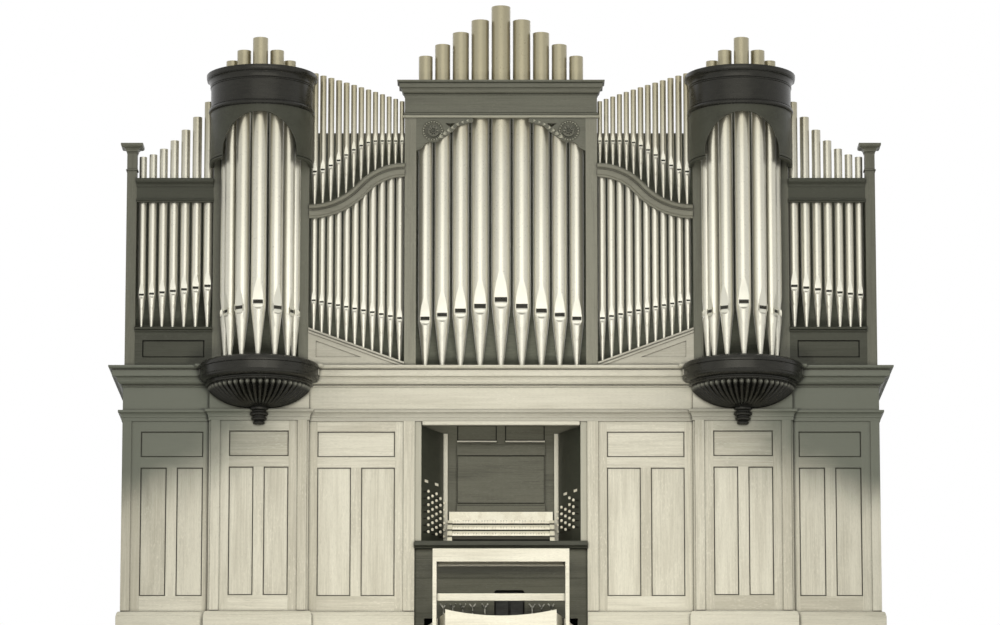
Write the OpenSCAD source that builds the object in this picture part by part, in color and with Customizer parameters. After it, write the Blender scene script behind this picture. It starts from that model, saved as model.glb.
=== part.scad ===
/* [Case plan] */
// Clear width of the console opening between the panelled bays
opening_w = 1446; // [1400:2:1500]
// Width of the panelled bay beside the console
inner_bay_w = 887; // [870:1:910]
// Width of the bay under each round tower
tower_bay_w = 833; // [825:1:845]
// Width of the end bay
outer_bay_w = 731; // [715:1:750]
// Depth of the case from its front to its back
case_depth = 1900; // [1600:10:2400]
// How far the tower bays stand forward
tower_step = 55; // [45:1:65]
// Thickness of the panelled boards
board_t = 45; // [38:1:52]

/* [Lower case] */
// Height of the plinth
plinth_h = 276; // [250:1:300]
// How far the plinth stands out
plinth_out = 35; // [25:1:45]
// Height of the rail under the tall panels
bottom_rail_h = 124; // [100:1:140]
// Height of the tall panels
tall_panel_h = 1085; // [1000:5:1150]
// Height of the rail between tall and top panels
mid_rail_h = 89; // [70:1:100]
// Height of the small top panels
top_panel_h = 217; // [190:1:240]
// Height of the rail over the top panels
top_rail_h = 88; // [70:1:100]
// Height of the architrave moulding
architrave_h = 91; // [80:1:100]
// How far the architrave stands out
architrave_out = 38; // [28:1:45]
// Height of the plain frieze
frieze_h = 200; // [180:1:230]
// Height of the impost cornice
cornice_h = 168; // [150:1:185]
// How far the impost cornice stands out
cornice_out = 118; // [100:1:135]
// Width of the stile beside the console opening
opening_stile = 165; // [150:1:180]
// Width of the narrow stiles of the bays
narrow_stile = 72; // [60:1:80]
// Width of the end bays' stile beside the tower
outer_stile = 52; // [44:1:60]
// Width of the wide stiles of the tower bays
tower_stile = 167; // [150:1:180]
// Width of the stile at the case's corner
corner_stile = 156; // [140:1:170]
// Width of the upright bar between two tall panels
muntin_w = 85; // [70:1:95]
// Depth of a panel behind its frame
panel_sink = 7; // [4:1:12]
// Width of the quirk round each panel
quirk_w = 9; // [6:1:14]
// Depth of the quirk behind the panel's face
quirk_d = 12; // [6:1:16]
// Width of a pilaster strip
pilaster_w = 76; // [60:1:90]
// Width of the pilaster strips beside the console
console_pilaster_w = 93; // [80:1:105]
// Thickness of a pilaster strip
pilaster_t = 8; // [5:1:12]

/* [Upper case] */
// Width of the end posts
end_post_w = 84; // [70:1:95]
// Height of the end posts over the impost, with their caps
end_post_h = 1926; // [1850:2:2000]
// Height of an end post's cap
end_cap_h = 78; // [60:1:90]
// How far an end post's cap stands out
end_cap_out = 52; // [35:1:60]
// How far the end posts stand in from the case's side
end_post_inset = 9; // [5:1:14]
// Thickness of the upper case's side boards
side_board_t = 36; // [28:1:42]
// Width of the posts beside the towers
tower_post_w = 82; // [70:1:90]
// Clear width between a tower's two posts
tower_gap_w = 645; // [635:1:660]
// Height of the tower posts over the impost
tower_post_h = 2162; // [2120:2:2200]
// Width of the posts beside the centre pipes
centre_post_w = 98; // [85:1:110]
// Clear width between the centre posts
centre_gap_w = 1434; // [1426:2:1450]
// Height of the centre posts over the impost
centre_post_h = 2154; // [2120:2:2200]
// Thickness of the boards of the upper case
upper_board_t = 24; // [18:1:26]
// Thickness of the toe boards that the pipes stand on
toe_board_t = 45; // [36:1:50]
// Depth of the toe boards behind the front
toe_board_depth = 130; // [115:1:160]
// Height of the end flats' toe board over the impost
end_toe_h = 348; // [320:1:380]
// Height of the sloping toe board at the tower side
slope_high_h = 344; // [320:1:370]
// Height of the sloping toe board at the centre side
slope_low_h = 47; // [46:1:60]
// Height of the end flats' transom over the impost
transom_z = 1422; // [1380:2:1460]
// Height of the transom board with its mouldings
transom_h = 204; // [190:1:220]
// Height of the ogee rail's top over the impost at the tower side
ogee_low_h = 1403; // [1380:1:1430]
// Height of the ogee rail's top over the impost at the centre side
ogee_high_h = 1763; // [1740:1:1790]
// Thickness of the ogee rail across its curve
ogee_t = 119; // [110:1:130]
// Height of the plain walls that close the upper case
upper_wall_h = 1626; // [1580:2:1680]
// Height of the boards that close the front behind the middle pipes
screen_h = 2100; // [2050:2:2150]
// Distance of the closing boards behind the front
screen_y = 330; // [300:5:400]

/* [Round towers] */
// Radius of the circle that the tower pipes stand on
tower_ring_r = 290; // [285:1:295]
// Radius of the corbel's rim
corbel_r = 512; // [500:1:520]
// Height of the corbel's rim
corbel_rim_h = 200; // [185:1:210]
// Height of the corbel's top over the impost
corbel_top_h = 22; // [18:1:26]
// Radius of the gadrooned bowl at its top
bowl_r = 430; // [415:1:440]
// Height of the gadrooned bowl
bowl_h = 180; // [165:1:185]
// Number of gadroons round a half bowl
gadroons = 24; // [18:1:28]
// Depth of the hollows between gadroons
gadroon_d = 17; // [8:1:22]
// Radius at the top of the turned drop
pendant_r = 86; // [75:1:95]
// Height of the turned drop
pendant_h = 140; // [120:1:150]
// Outer radius of the drum over a tower
cap_r = 430; // [424:1:436]
// Radius that the drum leaves clear for the pipes
cap_clear_r = 378; // [372:1:384]
// Height of the drum with its crown
cap_h = 334; // [310:1:350]
// Height of the crown moulding on the drum
crown_h = 112; // [95:1:125]
// How far the crown stands out from the drum
crown_out = 38; // [28:1:46]
// Height of the curved board under the drum
shade_h = 437; // [420:1:450]
// Half width of its arch
arch_half_w = 310; // [300:1:316]
// Height from the arch's springing to its crown
arch_rise = 314; // [290:1:325]

/* [Centre] */
// Height of the centre frieze board
centre_frieze_h = 150; // [135:1:165]
// Height of the bead under the centre frieze
centre_bead_h = 50; // [40:1:60]
// Height of the centre cornice
centre_cornice_h = 118; // [105:1:130]
// How far the centre cornice stands out
centre_cornice_out = 65; // [50:1:75]
// Length of a scroll bracket along the frieze
bracket_l = 482; // [440:2:500]
// Drop of a scroll bracket down its post
bracket_drop = 284; // [260:1:300]
// Radius of a bracket's scroll
scroll_r = 92; // [80:1:98]

/* [Pipes] */
// Wall of a pipe
pipe_wall = 2.5; // [2:0.5:4]
// Number of pipes in the centre, an odd number
centre_pipes_n = 9; // [7:2:9]
// Diameter of the middle pipe
centre_pipe_d = 162; // [150:1:166]
// Diameter of the centre's last pipe
centre_pipe_end_d = 119; // [110:1:124]
// Height of the middle pipe's top over the impost
centre_top_h = 3148; // [3100:2:3200]
// Height of the last centre pipe's top over the impost
centre_end_top_h = 2712; // [2680:2:2760]
// Height of the middle pipe's mouth over the impost
centre_mouth_h = 574; // [540:2:600]
// Height of the last centre pipe's mouth over the impost
centre_end_mouth_h = 420; // [400:2:450]
// Number of pipes in an end flat
outer_pipes_n = 7; // [5:1:7]
// Diameter of an end flat's smallest pipe
outer_pipe_small_d = 64; // [56:1:68]
// Diameter of an end flat's largest pipe
outer_pipe_large_d = 82; // [74:1:84]
// Height of the end flat's smallest pipe over its toe board
outer_small_h = 1476; // [1440:2:1500]
// Height of the end flat's largest pipe over its toe board
outer_large_h = 1953; // [1900:2:1990]
// Height of the smallest end pipe's mouth over the toe board
outer_small_mouth_h = 277; // [250:1:300]
// Height of the largest end pipe's mouth over the toe board
outer_large_mouth_h = 349; // [320:1:370]
// Number of pipes in a lower inner flat
lower_pipes_n = 11; // [9:1:11]
// Diameter of a lower inner flat's smallest pipe
lower_pipe_small_d = 52; // [46:1:56]
// Diameter of a lower inner flat's largest pipe
lower_pipe_large_d = 64; // [58:1:66]
// Height of the first lower pipe's mouth over the slope
lower_first_mouth_h = 250; // [230:1:270]
// Height of the last lower pipe's mouth over the slope
lower_last_mouth_h = 362; // [340:1:380]
// Number of pipes in an upper inner flat
upper_pipes_n = 13; // [11:1:13]
// Diameter of an upper inner flat's largest pipe
upper_pipe_large_d = 56; // [50:1:58]
// Diameter of an upper inner flat's smallest pipe
upper_pipe_small_d = 41; // [36:1:44]
// Height of the first upper pipe's mouth over the ogee rail's foot
upper_first_mouth_h = 288; // [270:1:300]
// Height of the last upper pipe's mouth over the ogee rail's foot
upper_last_mouth_h = 556; // [540:1:580]
// Height of the first upper pipe's top over the ogee rail's foot
upper_first_h = 1150; // [1110:2:1180]
// Height of the last upper pipe's top over the ogee rail's foot
upper_last_h = 908; // [880:2:930]
// Diameter of a tower's middle pipe
tower_pipe_d = 128; // [118:1:132]
// How much each next tower pipe is smaller
tower_pipe_step = 11; // [8:1:13]

/* [Console] */
// Height of the key desk's top
desk_top_z = 858; // [830:1:880]
// Thickness of the key desk
desk_t = 58; // [48:1:64]
// How far the key desk stands out
desk_out = 60; // [40:1:80]
// Width of the light strips beside the recess
strip_w = 56; // [48:1:64]
// Half width between the stop jambs at their back
jamb_back_half = 451; // [446:1:460]
// Depth of the stop jambs
jamb_depth = 425; // [400:5:450]
// Height of the stop jambs' top
jamb_top_z = 1846; // [1820:2:1866]
// Depth of the console recess to its back boards
recess_depth = 500; // [480:5:540]
// Width of a row of 61 keys
keyboard_w = 818; // [812:1:830]
// Number of natural keys in a row
naturals_n = 36; // [36:1:36]
// Depth of a key seen from above
key_l = 140; // [130:1:150]
// Distance from one row of keys to the next behind it
row_pitch = 100; // [96:1:110]
// Height from one row of keys to the next
row_rise = 68; // [64:1:76]
// Height of the lowest keys over the desk
first_key_h = 77; // [70:1:90]
// Width of the music desk
music_desk_w = 744; // [700:2:780]
// Height of the music desk's foot
music_desk_z = 1222; // [1215:1:1240]
// Height of the music desk
music_desk_h = 530; // [500:2:560]

/* [Pedals and bench] */
// Reach of the pedalboard in front of the case
reach = 780; // [760:2:820]
// Half width of the heel board
heel_half = 455; // [440:1:460]
// Height of the heel board's ends
heel_end_h = 182; // [165:1:190]
// Height of the heel board's middle
heel_mid_h = 130; // [115:1:135]
// Number of natural pedals
pedal_naturals_n = 19; // [19:1:19]
// Length of the bench
bench_l = 1120; // [1080:2:1160]
// Height of the bench
bench_h = 690; // [650:2:720]
// Width of the bench from front to back
bench_w = 280; // [250:2:290]
// Thickness of the bench's end boards
bench_end_t = 32; // [26:1:36]

/* [Hidden] */
$fn = 64;

oak = "#8b8168";
oak_dark = "#5e5746";
stained = "#2f2b24";
pipe_metal = "#d9d4c3";
ivory = "#efe9d8";
ebony = "#1f1c19";
iron = "#4a4843";

// plan lines, from the centre outward, and levels, from the floor up
x_open = opening_w / 2;
x_in = x_open + inner_bay_w;
x_tow = x_in + tower_bay_w;
x_end = x_tow + outer_bay_w;
tower_x = x_in + tower_bay_w / 2;
tower_y = -tower_step;
frame_h = bottom_rail_h + tall_panel_h + mid_rail_h + top_panel_h + top_rail_h;
architrave_z = plinth_h + frame_h;
frieze_z = architrave_z + architrave_h;
cornice_z = frieze_z + frieze_h;
impost_z = cornice_z + cornice_h;
deck_t = 30;
case_mid_y = (case_depth - reach) / 2;

// upper case lines
end_post_x = x_end - end_post_inset - end_post_w;
tower_out_x = tower_x + tower_gap_w / 2;
tower_in_x = tower_x - tower_gap_w / 2;
flat_outer_x = tower_out_x + tower_post_w;
flat_inner_x = tower_in_x - tower_post_w;
centre_post_x = centre_gap_w / 2;
flat_centre_x = centre_post_x + centre_post_w;
end_toe_z = impost_z + end_toe_h;
pipe_line_y = upper_board_t + 36;
centre_line_y = upper_board_t + 6 + centre_pipe_d / 2;
tower_top_z = impost_z + tower_post_h;
corbel_top_z = impost_z + corbel_top_h;
bowl_top_z = corbel_top_z - corbel_rim_h;
bowl_bottom_z = bowl_top_z - bowl_h;
centre_bead_z = impost_z + centre_post_h;
centre_frieze_z = centre_bead_z + centre_bead_h;
centre_cornice_z = centre_frieze_z + centre_frieze_h;
slope_high_z = impost_z + slope_high_h;
slope_low_z = impost_z + slope_low_h;
ogee_low_z = impost_z + ogee_low_h;
ogee_high_z = impost_z + ogee_high_h;
ogee_run = (flat_inner_x - flat_centre_x) / 2;
ogee_rise = (ogee_high_z - ogee_low_z) / 2;
ogee_r = (ogee_run * ogee_run + ogee_rise * ogee_rise) / (2 * ogee_rise);
ogee_angle = asin(ogee_run / ogee_r);

// small working sizes
toe_sink = 14;
toe_clear = 3;
lip_step = 1.2;
side_gap = 4;
wide_side_gap = 16;
centre_side_gap = 17;
key_gap = 1;
past = 20;

// The frame's origin lies on the floor under the middle of the object's plan.
module set_down() translate([0, -case_mid_y, 0]) children();

module both_sides() {
    children();
    mirror([1, 0, 0]) children();
}

// Moulding profiles are lists of [how far out, height], from the bottom up.
function ovolo(a, b, n = 5) =
    [for (i = [0:n]) [a.x + (b.x - a.x) * sin(90 * i / n), b.y - (b.y - a.y) * cos(90 * i / n)]];
function cavetto(a, b, n = 5) =
    [for (i = [0:n]) [b.x - (b.x - a.x) * cos(90 * i / n), a.y + (b.y - a.y) * sin(90 * i / n)]];
function bead(x, z0, z1, n = 6) =
    let (r = (z1 - z0) / 2)
    [for (i = [0:n]) [x + r * sin(180 * i / n), z0 + r - r * cos(180 * i / n)]];
function raised(profile, z) = [for (p = profile) [p.x, p.y + z]];
function reversed(list) = [for (i = [len(list) - 1:-1:0]) list[i]];
function mix(a, b, t) = a + (b - a) * t;

function plinth_profile(out, h) = concat(
    [[0, 0], [out, 0], [out, h * 0.83]],
    cavetto([out - 4, h * 0.85], [8, h * 0.97]),
    [[0, h * 0.97], [0, h]]);
function architrave_profile(out, h) = concat(
    [[0, 0], [out * 0.2, 0], [out * 0.2, h * 0.3]],
    cavetto([out * 0.3, h * 0.34], [out * 0.8, h * 0.74]),
    [[out, h * 0.8], [out, h]]);
function cornice_profile(out, h) = concat(
    [[0, 0]],
    bead(out * 0.06, h * 0.01, h * 0.08),
    [[out * 0.05, h * 0.12]],
    ovolo([out * 0.08, h * 0.12], [out * 0.38, h * 0.33]),
    cavetto([out * 0.4, h * 0.35], [out * 0.6, h * 0.48]),
    [[out * 0.74, h * 0.48], [out * 0.74, h * 0.78], [out * 0.7, h * 0.8], [out * 0.7, h * 0.84]],
    ovolo([out * 0.8, h * 0.84], [out, h * 0.94]),
    [[out, h]]);
function crown_profile(out, h) = concat(
    [[0, 0]],
    bead(0, 0, h * 0.12),
    [[out * 0.1, h * 0.16]],
    cavetto([out * 0.15, h * 0.2], [out * 0.75, h * 0.6]),
    ovolo([out * 0.8, h * 0.64], [out, h * 0.86]),
    [[out, h]]);

// A block whose front and two ends carry one profile, mitred at its corners.
module moulded_block(x0, x1, front, back, profile) {
    low = profile[0].y;
    high = profile[len(profile) - 1].y;
    wide = 2 * past + 200;
    intersection() {
        translate([0, back, 0]) rotate([90, 0, 0]) linear_extrude(back - front + wide)
            polygon(concat([for (p = profile) [x1 + p.x, p.y]],
                           reversed([for (p = profile) [x0 - p.x, p.y]])));
        translate([x0 - wide, 0, 0]) rotate([90, 0, 90]) linear_extrude(x1 - x0 + 2 * wide)
            polygon(concat([for (p = profile) [front - p.x, p.y]], [[back, high], [back, low]]));
    }
}

// A block with the profile on all four sides, such as a post's cap.
module capital_block(x0, x1, y0, y1, profile) {
    wide = 200;
    intersection() {
        translate([0, y1 + wide, 0]) rotate([90, 0, 0]) linear_extrude(y1 - y0 + 2 * wide)
            polygon(concat([for (p = profile) [x1 + p.x, p.y]],
                           reversed([for (p = profile) [x0 - p.x, p.y]])));
        translate([x0 - wide, 0, 0]) rotate([90, 0, 90]) linear_extrude(x1 - x0 + 2 * wide)
            polygon(concat([for (p = profile) [y1 + p.x, p.y]],
                           reversed([for (p = profile) [y0 - p.x, p.y]])));
    }
}

// A bar of one profile along X, its face at y, solid back to y_back.
module rail(x0, x1, y, y_back, profile) {
    low = profile[0].y;
    high = profile[len(profile) - 1].y;
    translate([x0, 0, 0]) rotate([90, 0, 90]) linear_extrude(x1 - x0)
        polygon(concat([for (p = profile) [y - p.x, p.y]], [[y_back, high], [y_back, low]]));
}

// The case's outline in one profile, with its steps at the tower bays.
module case_outline(profile) {
    moulded_block(-x_end, x_end, 0, case_depth, profile);
    both_sides() moulded_block(x_in, x_tow, -tower_step, board_t, profile);
}

// A course that runs round the front and both sides, as thick as the boards.
module case_course(profile) {
    low = profile[0].y;
    high = profile[len(profile) - 1].y;
    difference() {
        case_outline(profile);
        translate([-x_end + board_t, board_t, low - past])
            cube([2 * (x_end - board_t), case_depth, high - low + 2 * past]);
    }
}

// One sunk panel with a quirk round it, as a cutter for a board whose face is y = 0.
module panel_cut(w, h) {
    translate([0, -past, 0]) cube([w, past + panel_sink, h]);
    difference() {
        cube([w, panel_sink + quirk_d, h]);
        translate([quirk_w, -past, quirk_w]) cube([w - 2 * quirk_w, case_depth, h - 2 * quirk_w]);
    }
}

// The cutters of a framed bay: one small panel over two tall ones.
module bay_cuts(w, left_stile, right_stile) {
    inner_w = w - left_stile - right_stile;
    tall_w = (inner_w - muntin_w) / 2;
    translate([left_stile, 0, frame_h - top_rail_h - top_panel_h]) panel_cut(inner_w, top_panel_h);
    for (x = [left_stile, left_stile + tall_w + muntin_w])
        translate([x, 0, bottom_rail_h]) panel_cut(tall_w, tall_panel_h);
}

module bay_board(w, left_stile, right_stile) difference() {
    cube([w, board_t, frame_h]);
    bay_cuts(w, left_stile, right_stile);
}

module pilaster(w) translate([0, -pilaster_t, 0]) cube([w, pilaster_t, frame_h]);

module plinths() color(oak) set_down() {
    profile = plinth_profile(plinth_out, plinth_h);
    both_sides() difference() {
        case_outline(profile);
        translate([-x_end + board_t, board_t, -past])
            cube([2 * (x_end - board_t), case_depth, plinth_h + 2 * past]);
        translate([-2 * x_end, -case_depth, -past])
            cube([2 * x_end + x_open, 3 * case_depth, plinth_h + 2 * past]);
    }
}

module outer_bays() color(oak) set_down() both_sides() translate([x_tow, 0, plinth_h]) {
    bay_board(outer_bay_w, outer_stile, corner_stile);
    translate([outer_bay_w - pilaster_w, 0, 0]) pilaster(pilaster_w);
}

module tower_bays() color(oak) set_down() both_sides() translate([x_in, -tower_step, plinth_h]) {
    side_inset = (tower_stile - pilaster_w) / 6;
    bay_board(tower_bay_w, tower_stile, tower_stile);
    translate([side_inset, 0, 0]) pilaster(pilaster_w);
    translate([tower_bay_w - pilaster_w - side_inset, 0, 0]) pilaster(pilaster_w);
    // returns that close the step back to the neighbouring bays
    for (x = [0, tower_bay_w - board_t])
        translate([x, board_t, 0]) cube([board_t, tower_step, frame_h]);
}

module inner_bays() color(oak) set_down() both_sides() translate([x_open, 0, plinth_h]) {
    bay_board(inner_bay_w, opening_stile, narrow_stile);
    pilaster(console_pilaster_w);
}

module side_walls() color(oak) set_down() both_sides() {
    wall_l = case_depth - board_t;
    bays = 3;
    translate([x_end, board_t, plinth_h]) rotate([0, 0, 90]) difference() {
        cube([wall_l, board_t, frame_h]);
        for (i = [0:bays - 1]) translate([i * wall_l / bays, 0, 0])
            bay_cuts(wall_l / bays, narrow_stile, narrow_stile);
    }
}

module back_wall() color(oak_dark) set_down()
    translate([-x_end + board_t, case_depth - upper_board_t, 0])
        cube([2 * (x_end - board_t), upper_board_t, impost_z + upper_wall_h - upper_board_t]);

module architrave() color(oak) set_down()
    case_course(raised(architrave_profile(architrave_out, architrave_h), architrave_z));

module frieze() color(oak) set_down()
    case_course([[0, frieze_z], [0, cornice_z]]);

module impost_cornice() color(oak) set_down()
    case_course(raised(cornice_profile(cornice_out, cornice_h), cornice_z));

module impost_deck() color(oak_dark) set_down()
    translate([-x_end + board_t, board_t, impost_z - deck_t])
        cube([2 * (x_end - board_t), case_depth - board_t - upper_board_t, deck_t]);

module upper_sides() color(oak) set_down() both_sides() {
    wall_l = case_depth - end_post_w;
    panel_w = (wall_l - 3 * corner_stile) / 2;
    translate([x_end - end_post_inset, end_post_w, impost_z]) rotate([0, 0, 90]) difference() {
        cube([wall_l, side_board_t, upper_wall_h - upper_board_t]);
        for (i = [0, 1]) translate([corner_stile + i * (panel_w + corner_stile), 0, corner_stile])
            panel_cut(panel_w, upper_wall_h - 2 * corner_stile);
    }
}

module case_roof() color(oak_dark) set_down()
    translate([-x_end + end_post_inset, screen_y + upper_board_t, impost_z + upper_wall_h - upper_board_t])
        cube([2 * (x_end - end_post_inset), case_depth - screen_y - upper_board_t, upper_board_t]);

module pipe_screens() color(stained) set_down() {
    translate([-tower_out_x, screen_y, impost_z]) cube([2 * tower_out_x, upper_board_t, screen_h]);
    both_sides() translate([tower_out_x, screen_y, impost_z])
        cube([x_end - end_post_inset - side_board_t - tower_out_x, upper_board_t, upper_wall_h]);
}

module end_posts() color(oak) set_down() both_sides() {
    shaft_h = end_post_h - end_cap_h;
    neck = [[0, 0], [0, 6], [8, 6], [8, 16], [0, 16], [0, 24]];
    translate([end_post_x, 0, impost_z]) cube([end_post_w, end_post_w, shaft_h]);
    capital_block(end_post_x, end_post_x + end_post_w, 0, end_post_w,
                  raised(neck, impost_z + shaft_h - 2 * end_cap_h));
    capital_block(end_post_x, end_post_x + end_post_w, 0, end_post_w,
                  raised(crown_profile(end_cap_out, end_cap_h), impost_z + shaft_h));
}

// The framed board under an end flat and the toe board on it.
module toe_panels() color(oak) set_down() both_sides() {
    w = end_post_x - flat_outer_x;
    board_h = end_toe_h - toe_board_t;
    side = 64;
    rise = board_h / 3.5;
    translate([flat_outer_x, 0, impost_z]) difference() {
        cube([w, upper_board_t, board_h]);
        translate([side, 0, rise]) panel_cut(w - 2 * side, board_h - 1.8 * rise);
    }
    nose = concat(ovolo([0, 0], [10, toe_board_t * 0.3]),
                  [[6, toe_board_t * 0.36], [6, toe_board_t * 0.44]],
                  bead(8, toe_board_t * 0.44, toe_board_t));
    rail(flat_outer_x, end_post_x, 0, toe_board_depth, raised(nose, end_toe_z - toe_board_t));
}

module transoms() color(oak) set_down() both_sides() {
    profile = concat(
        bead(4, 0, transom_h * 0.08),
        [[8, transom_h * 0.1], [8, transom_h * 0.15], [0, transom_h * 0.16], [0, transom_h * 0.64]],
        cavetto([4, transom_h * 0.66], [18, transom_h * 0.8]),
        ovolo([20, transom_h * 0.82], [32, transom_h * 0.92]),
        [[32, transom_h]]);
    rail(flat_outer_x, end_post_x, 0, upper_board_t - 4, raised(profile, impost_z + transom_z));
}

module tower_posts() color(oak) set_down() both_sides()
    for (x = [tower_out_x, flat_inner_x])
        translate([x, 0, impost_z]) cube([tower_post_w, tower_post_w, tower_post_h]);

// A half ring in front of a tower's axis, with straight returns to y_back.
module tower_ring(profile, y_back) translate([tower_x, tower_y, 0]) {
    rotate([0, 0, 180]) rotate_extrude(angle = 180) polygon(profile);
    for (side = [0, 1]) mirror([side, 0, 0]) translate([0, y_back - tower_y, 0])
        rotate([90, 0, 0]) linear_extrude(y_back - tower_y) polygon(profile);
}

module tower_caps() color(stained) set_down() both_sides() {
    drum_h = cap_h - crown_h;
    outline = concat(
        [[cap_clear_r, 0], [cap_r, 0]],
        bead(cap_r, 2, 40),
        [[cap_r, 46], [cap_r + 4, 46], [cap_r + 4, 56], [cap_r, 56]],
        [for (p = raised(crown_profile(crown_out, crown_h), drum_h)) [cap_r + p.x, p.y]],
        [[cap_clear_r, cap_h]]);
    tower_ring(raised(outline, tower_top_z), upper_board_t - 4);
}

// The curved board under a drum, cut to an elliptical arch over the pipes.
module pipe_shades() color(oak_dark) set_down() both_sides() {
    foot_h = shade_h - arch_rise - 60;
    shade_in_r = tower_gap_w / 2 + tower_post_w;
    low_z = tower_top_z - shade_h;
    outline = concat(
        [[shade_in_r, 0], [cap_r, 0]],
        bead(cap_r, 0, foot_h * 0.3),
        [[cap_r, foot_h * 0.35], [cap_r + 6, foot_h * 0.4]],
        [[cap_r + 6, foot_h * 0.6], [cap_r, foot_h * 0.7]],
        [[cap_r, shade_h], [shade_in_r, shade_h]]);
    arch = concat(
        [[-arch_half_w, -past]],
        [for (a = [180:-9:0]) [arch_half_w * cos(a), foot_h + arch_rise * sin(a)]],
        [[arch_half_w, -past]]);
    difference() {
        tower_ring(raised(outline, low_z), upper_board_t - 4);
        translate([tower_x, tower_y, low_z]) rotate([90, 0, 0]) linear_extrude(2 * cap_r) polygon(arch);
    }
}

// The bowl of a corbel: a half turn of lobes whose hollows fade towards the drop.
module gadrooned_bowl() {
    rows = 9;
    steps = 5;
    columns = gadroons * steps;
    arc_r = ((bowl_r - pendant_r) * (bowl_r - pendant_r) + bowl_h * bowl_h) / (2 * bowl_h);
    top_angle = asin(min(1, (bowl_r - pendant_r) / arc_r));
    function lobe(i) = abs(sin(180 * i / steps));
    function point(j, i) = let (
        a = top_angle * (1 - j / rows),
        depth = gadroon_d * sin(90 * (1 - j / rows) * 0.9 + 9) * (1 - lobe(i)),
        r = pendant_r + (arc_r - depth) * sin(a) - depth * 0.3 * (1 - j / rows),
        z = bowl_bottom_z + arc_r - (arc_r - depth * (j == 0 ? 0 : 1)) * cos(a),
        turn = 180 + 180 * i / columns
    ) [r * cos(turn), r * sin(turn), j == 0 ? bowl_top_z : z];
    skin = [for (j = [0:rows], i = [0:columns]) point(j, i)];
    n = columns + 1;
    axis_top = len(skin);
    polyhedron(
        points = concat(skin, [[0, 0, bowl_top_z], [0, 0, point(rows, 0).z]]),
        faces = concat(
            [for (j = [0:rows - 1], i = [0:columns - 1])
                [(j + 1) * n + i + 1, (j + 1) * n + i, j * n + i]],
            [for (j = [0:rows - 1], i = [0:columns - 1])
                [j * n + i + 1, (j + 1) * n + i + 1, j * n + i]],
            [for (i = [0:columns - 1]) [i + 1, i, axis_top]],
            [for (i = [0:columns - 1]) [rows * n + i, rows * n + i + 1, axis_top + 1]],
            [for (j = [0:rows - 1]) [j * n, (j + 1) * n, axis_top]],
            [for (j = [0:rows - 1]) [(j + 1) * n + columns, j * n + columns, axis_top]],
            [[rows * n, axis_top + 1, axis_top], [axis_top + 1, rows * n + columns, axis_top]]));
}

module corbels() color(stained) set_down() both_sides() {
    outline = concat(
        [[0, 0], [bowl_r + 8, 0]],
        bead(bowl_r + 12, 0, corbel_rim_h * 0.1),
        [[bowl_r + 14, corbel_rim_h * 0.14]],
        ovolo([bowl_r + 18, corbel_rim_h * 0.16], [corbel_r - 14, corbel_rim_h * 0.34]),
        [[corbel_r - 10, corbel_rim_h * 0.38], [corbel_r - 10, corbel_rim_h * 0.7]],
        [[corbel_r, corbel_rim_h * 0.72], [corbel_r, corbel_rim_h * 0.78]],
        cavetto([corbel_r - 2, corbel_rim_h * 0.8], [corbel_r - 44, corbel_rim_h * 0.97]),
        [[corbel_r - 48, corbel_rim_h], [0, corbel_rim_h]]);
    difference() {
        translate([tower_x, tower_y, bowl_top_z]) rotate([0, 0, 180])
            rotate_extrude(angle = 180) polygon(outline);
        moulded_block(x_in, x_tow, -tower_step, case_depth,
                      raised(cornice_profile(cornice_out, cornice_h), cornice_z));
    }
    translate([tower_x, tower_y, 0]) gadrooned_bowl();
}

module pendants() color(stained) set_down() both_sides() {
    outline = concat(
        [[0, 0], [pendant_r * 0.35, 0]],
        bead(pendant_r * 0.45, pendant_h * 0.02, pendant_h * 0.18),
        [[pendant_r * 0.5, pendant_h * 0.22]],
        bead(pendant_r * 0.6, pendant_h * 0.24, pendant_h * 0.44),
        [[pendant_r * 0.62, pendant_h * 0.5]],
        bead(pendant_r * 0.74, pendant_h * 0.52, pendant_h * 0.74),
        [[pendant_r * 0.78, pendant_h * 0.8], [pendant_r, pendant_h * 0.88], [pendant_r, pendant_h]],
        [[0, pendant_h]]);
    difference() {
        translate([tower_x, tower_y, bowl_bottom_z - pendant_h]) rotate([0, 0, 180])
            rotate_extrude(angle = 180) polygon(outline);
        moulded_block(x_in, x_tow, -tower_step, case_depth,
                      raised(architrave_profile(architrave_out, architrave_h), architrave_z));
    }
}

// Height of the sloping toe board's top at a distance from the centre.
function slope_z(x) =
    mix(slope_low_z, slope_high_z, (x - flat_centre_x) / (flat_inner_x - flat_centre_x));

// Height of the ogee rail's top: a hollow arc on the tower side, a round one on the centre side.
function ogee_z(x) = let (mid = flat_centre_x + ogee_run)
    x > mid ? ogee_low_z + ogee_r - sqrt(ogee_r * ogee_r - (flat_inner_x - x) * (flat_inner_x - x))
            : ogee_high_z - ogee_r + sqrt(ogee_r * ogee_r - (x - flat_centre_x) * (x - flat_centre_x));

module toe_hole(x, z, r) translate([x, pipe_line_y, z - toe_sink])
    cylinder(h = 6 * toe_sink, r = r + toe_clear);

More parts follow.
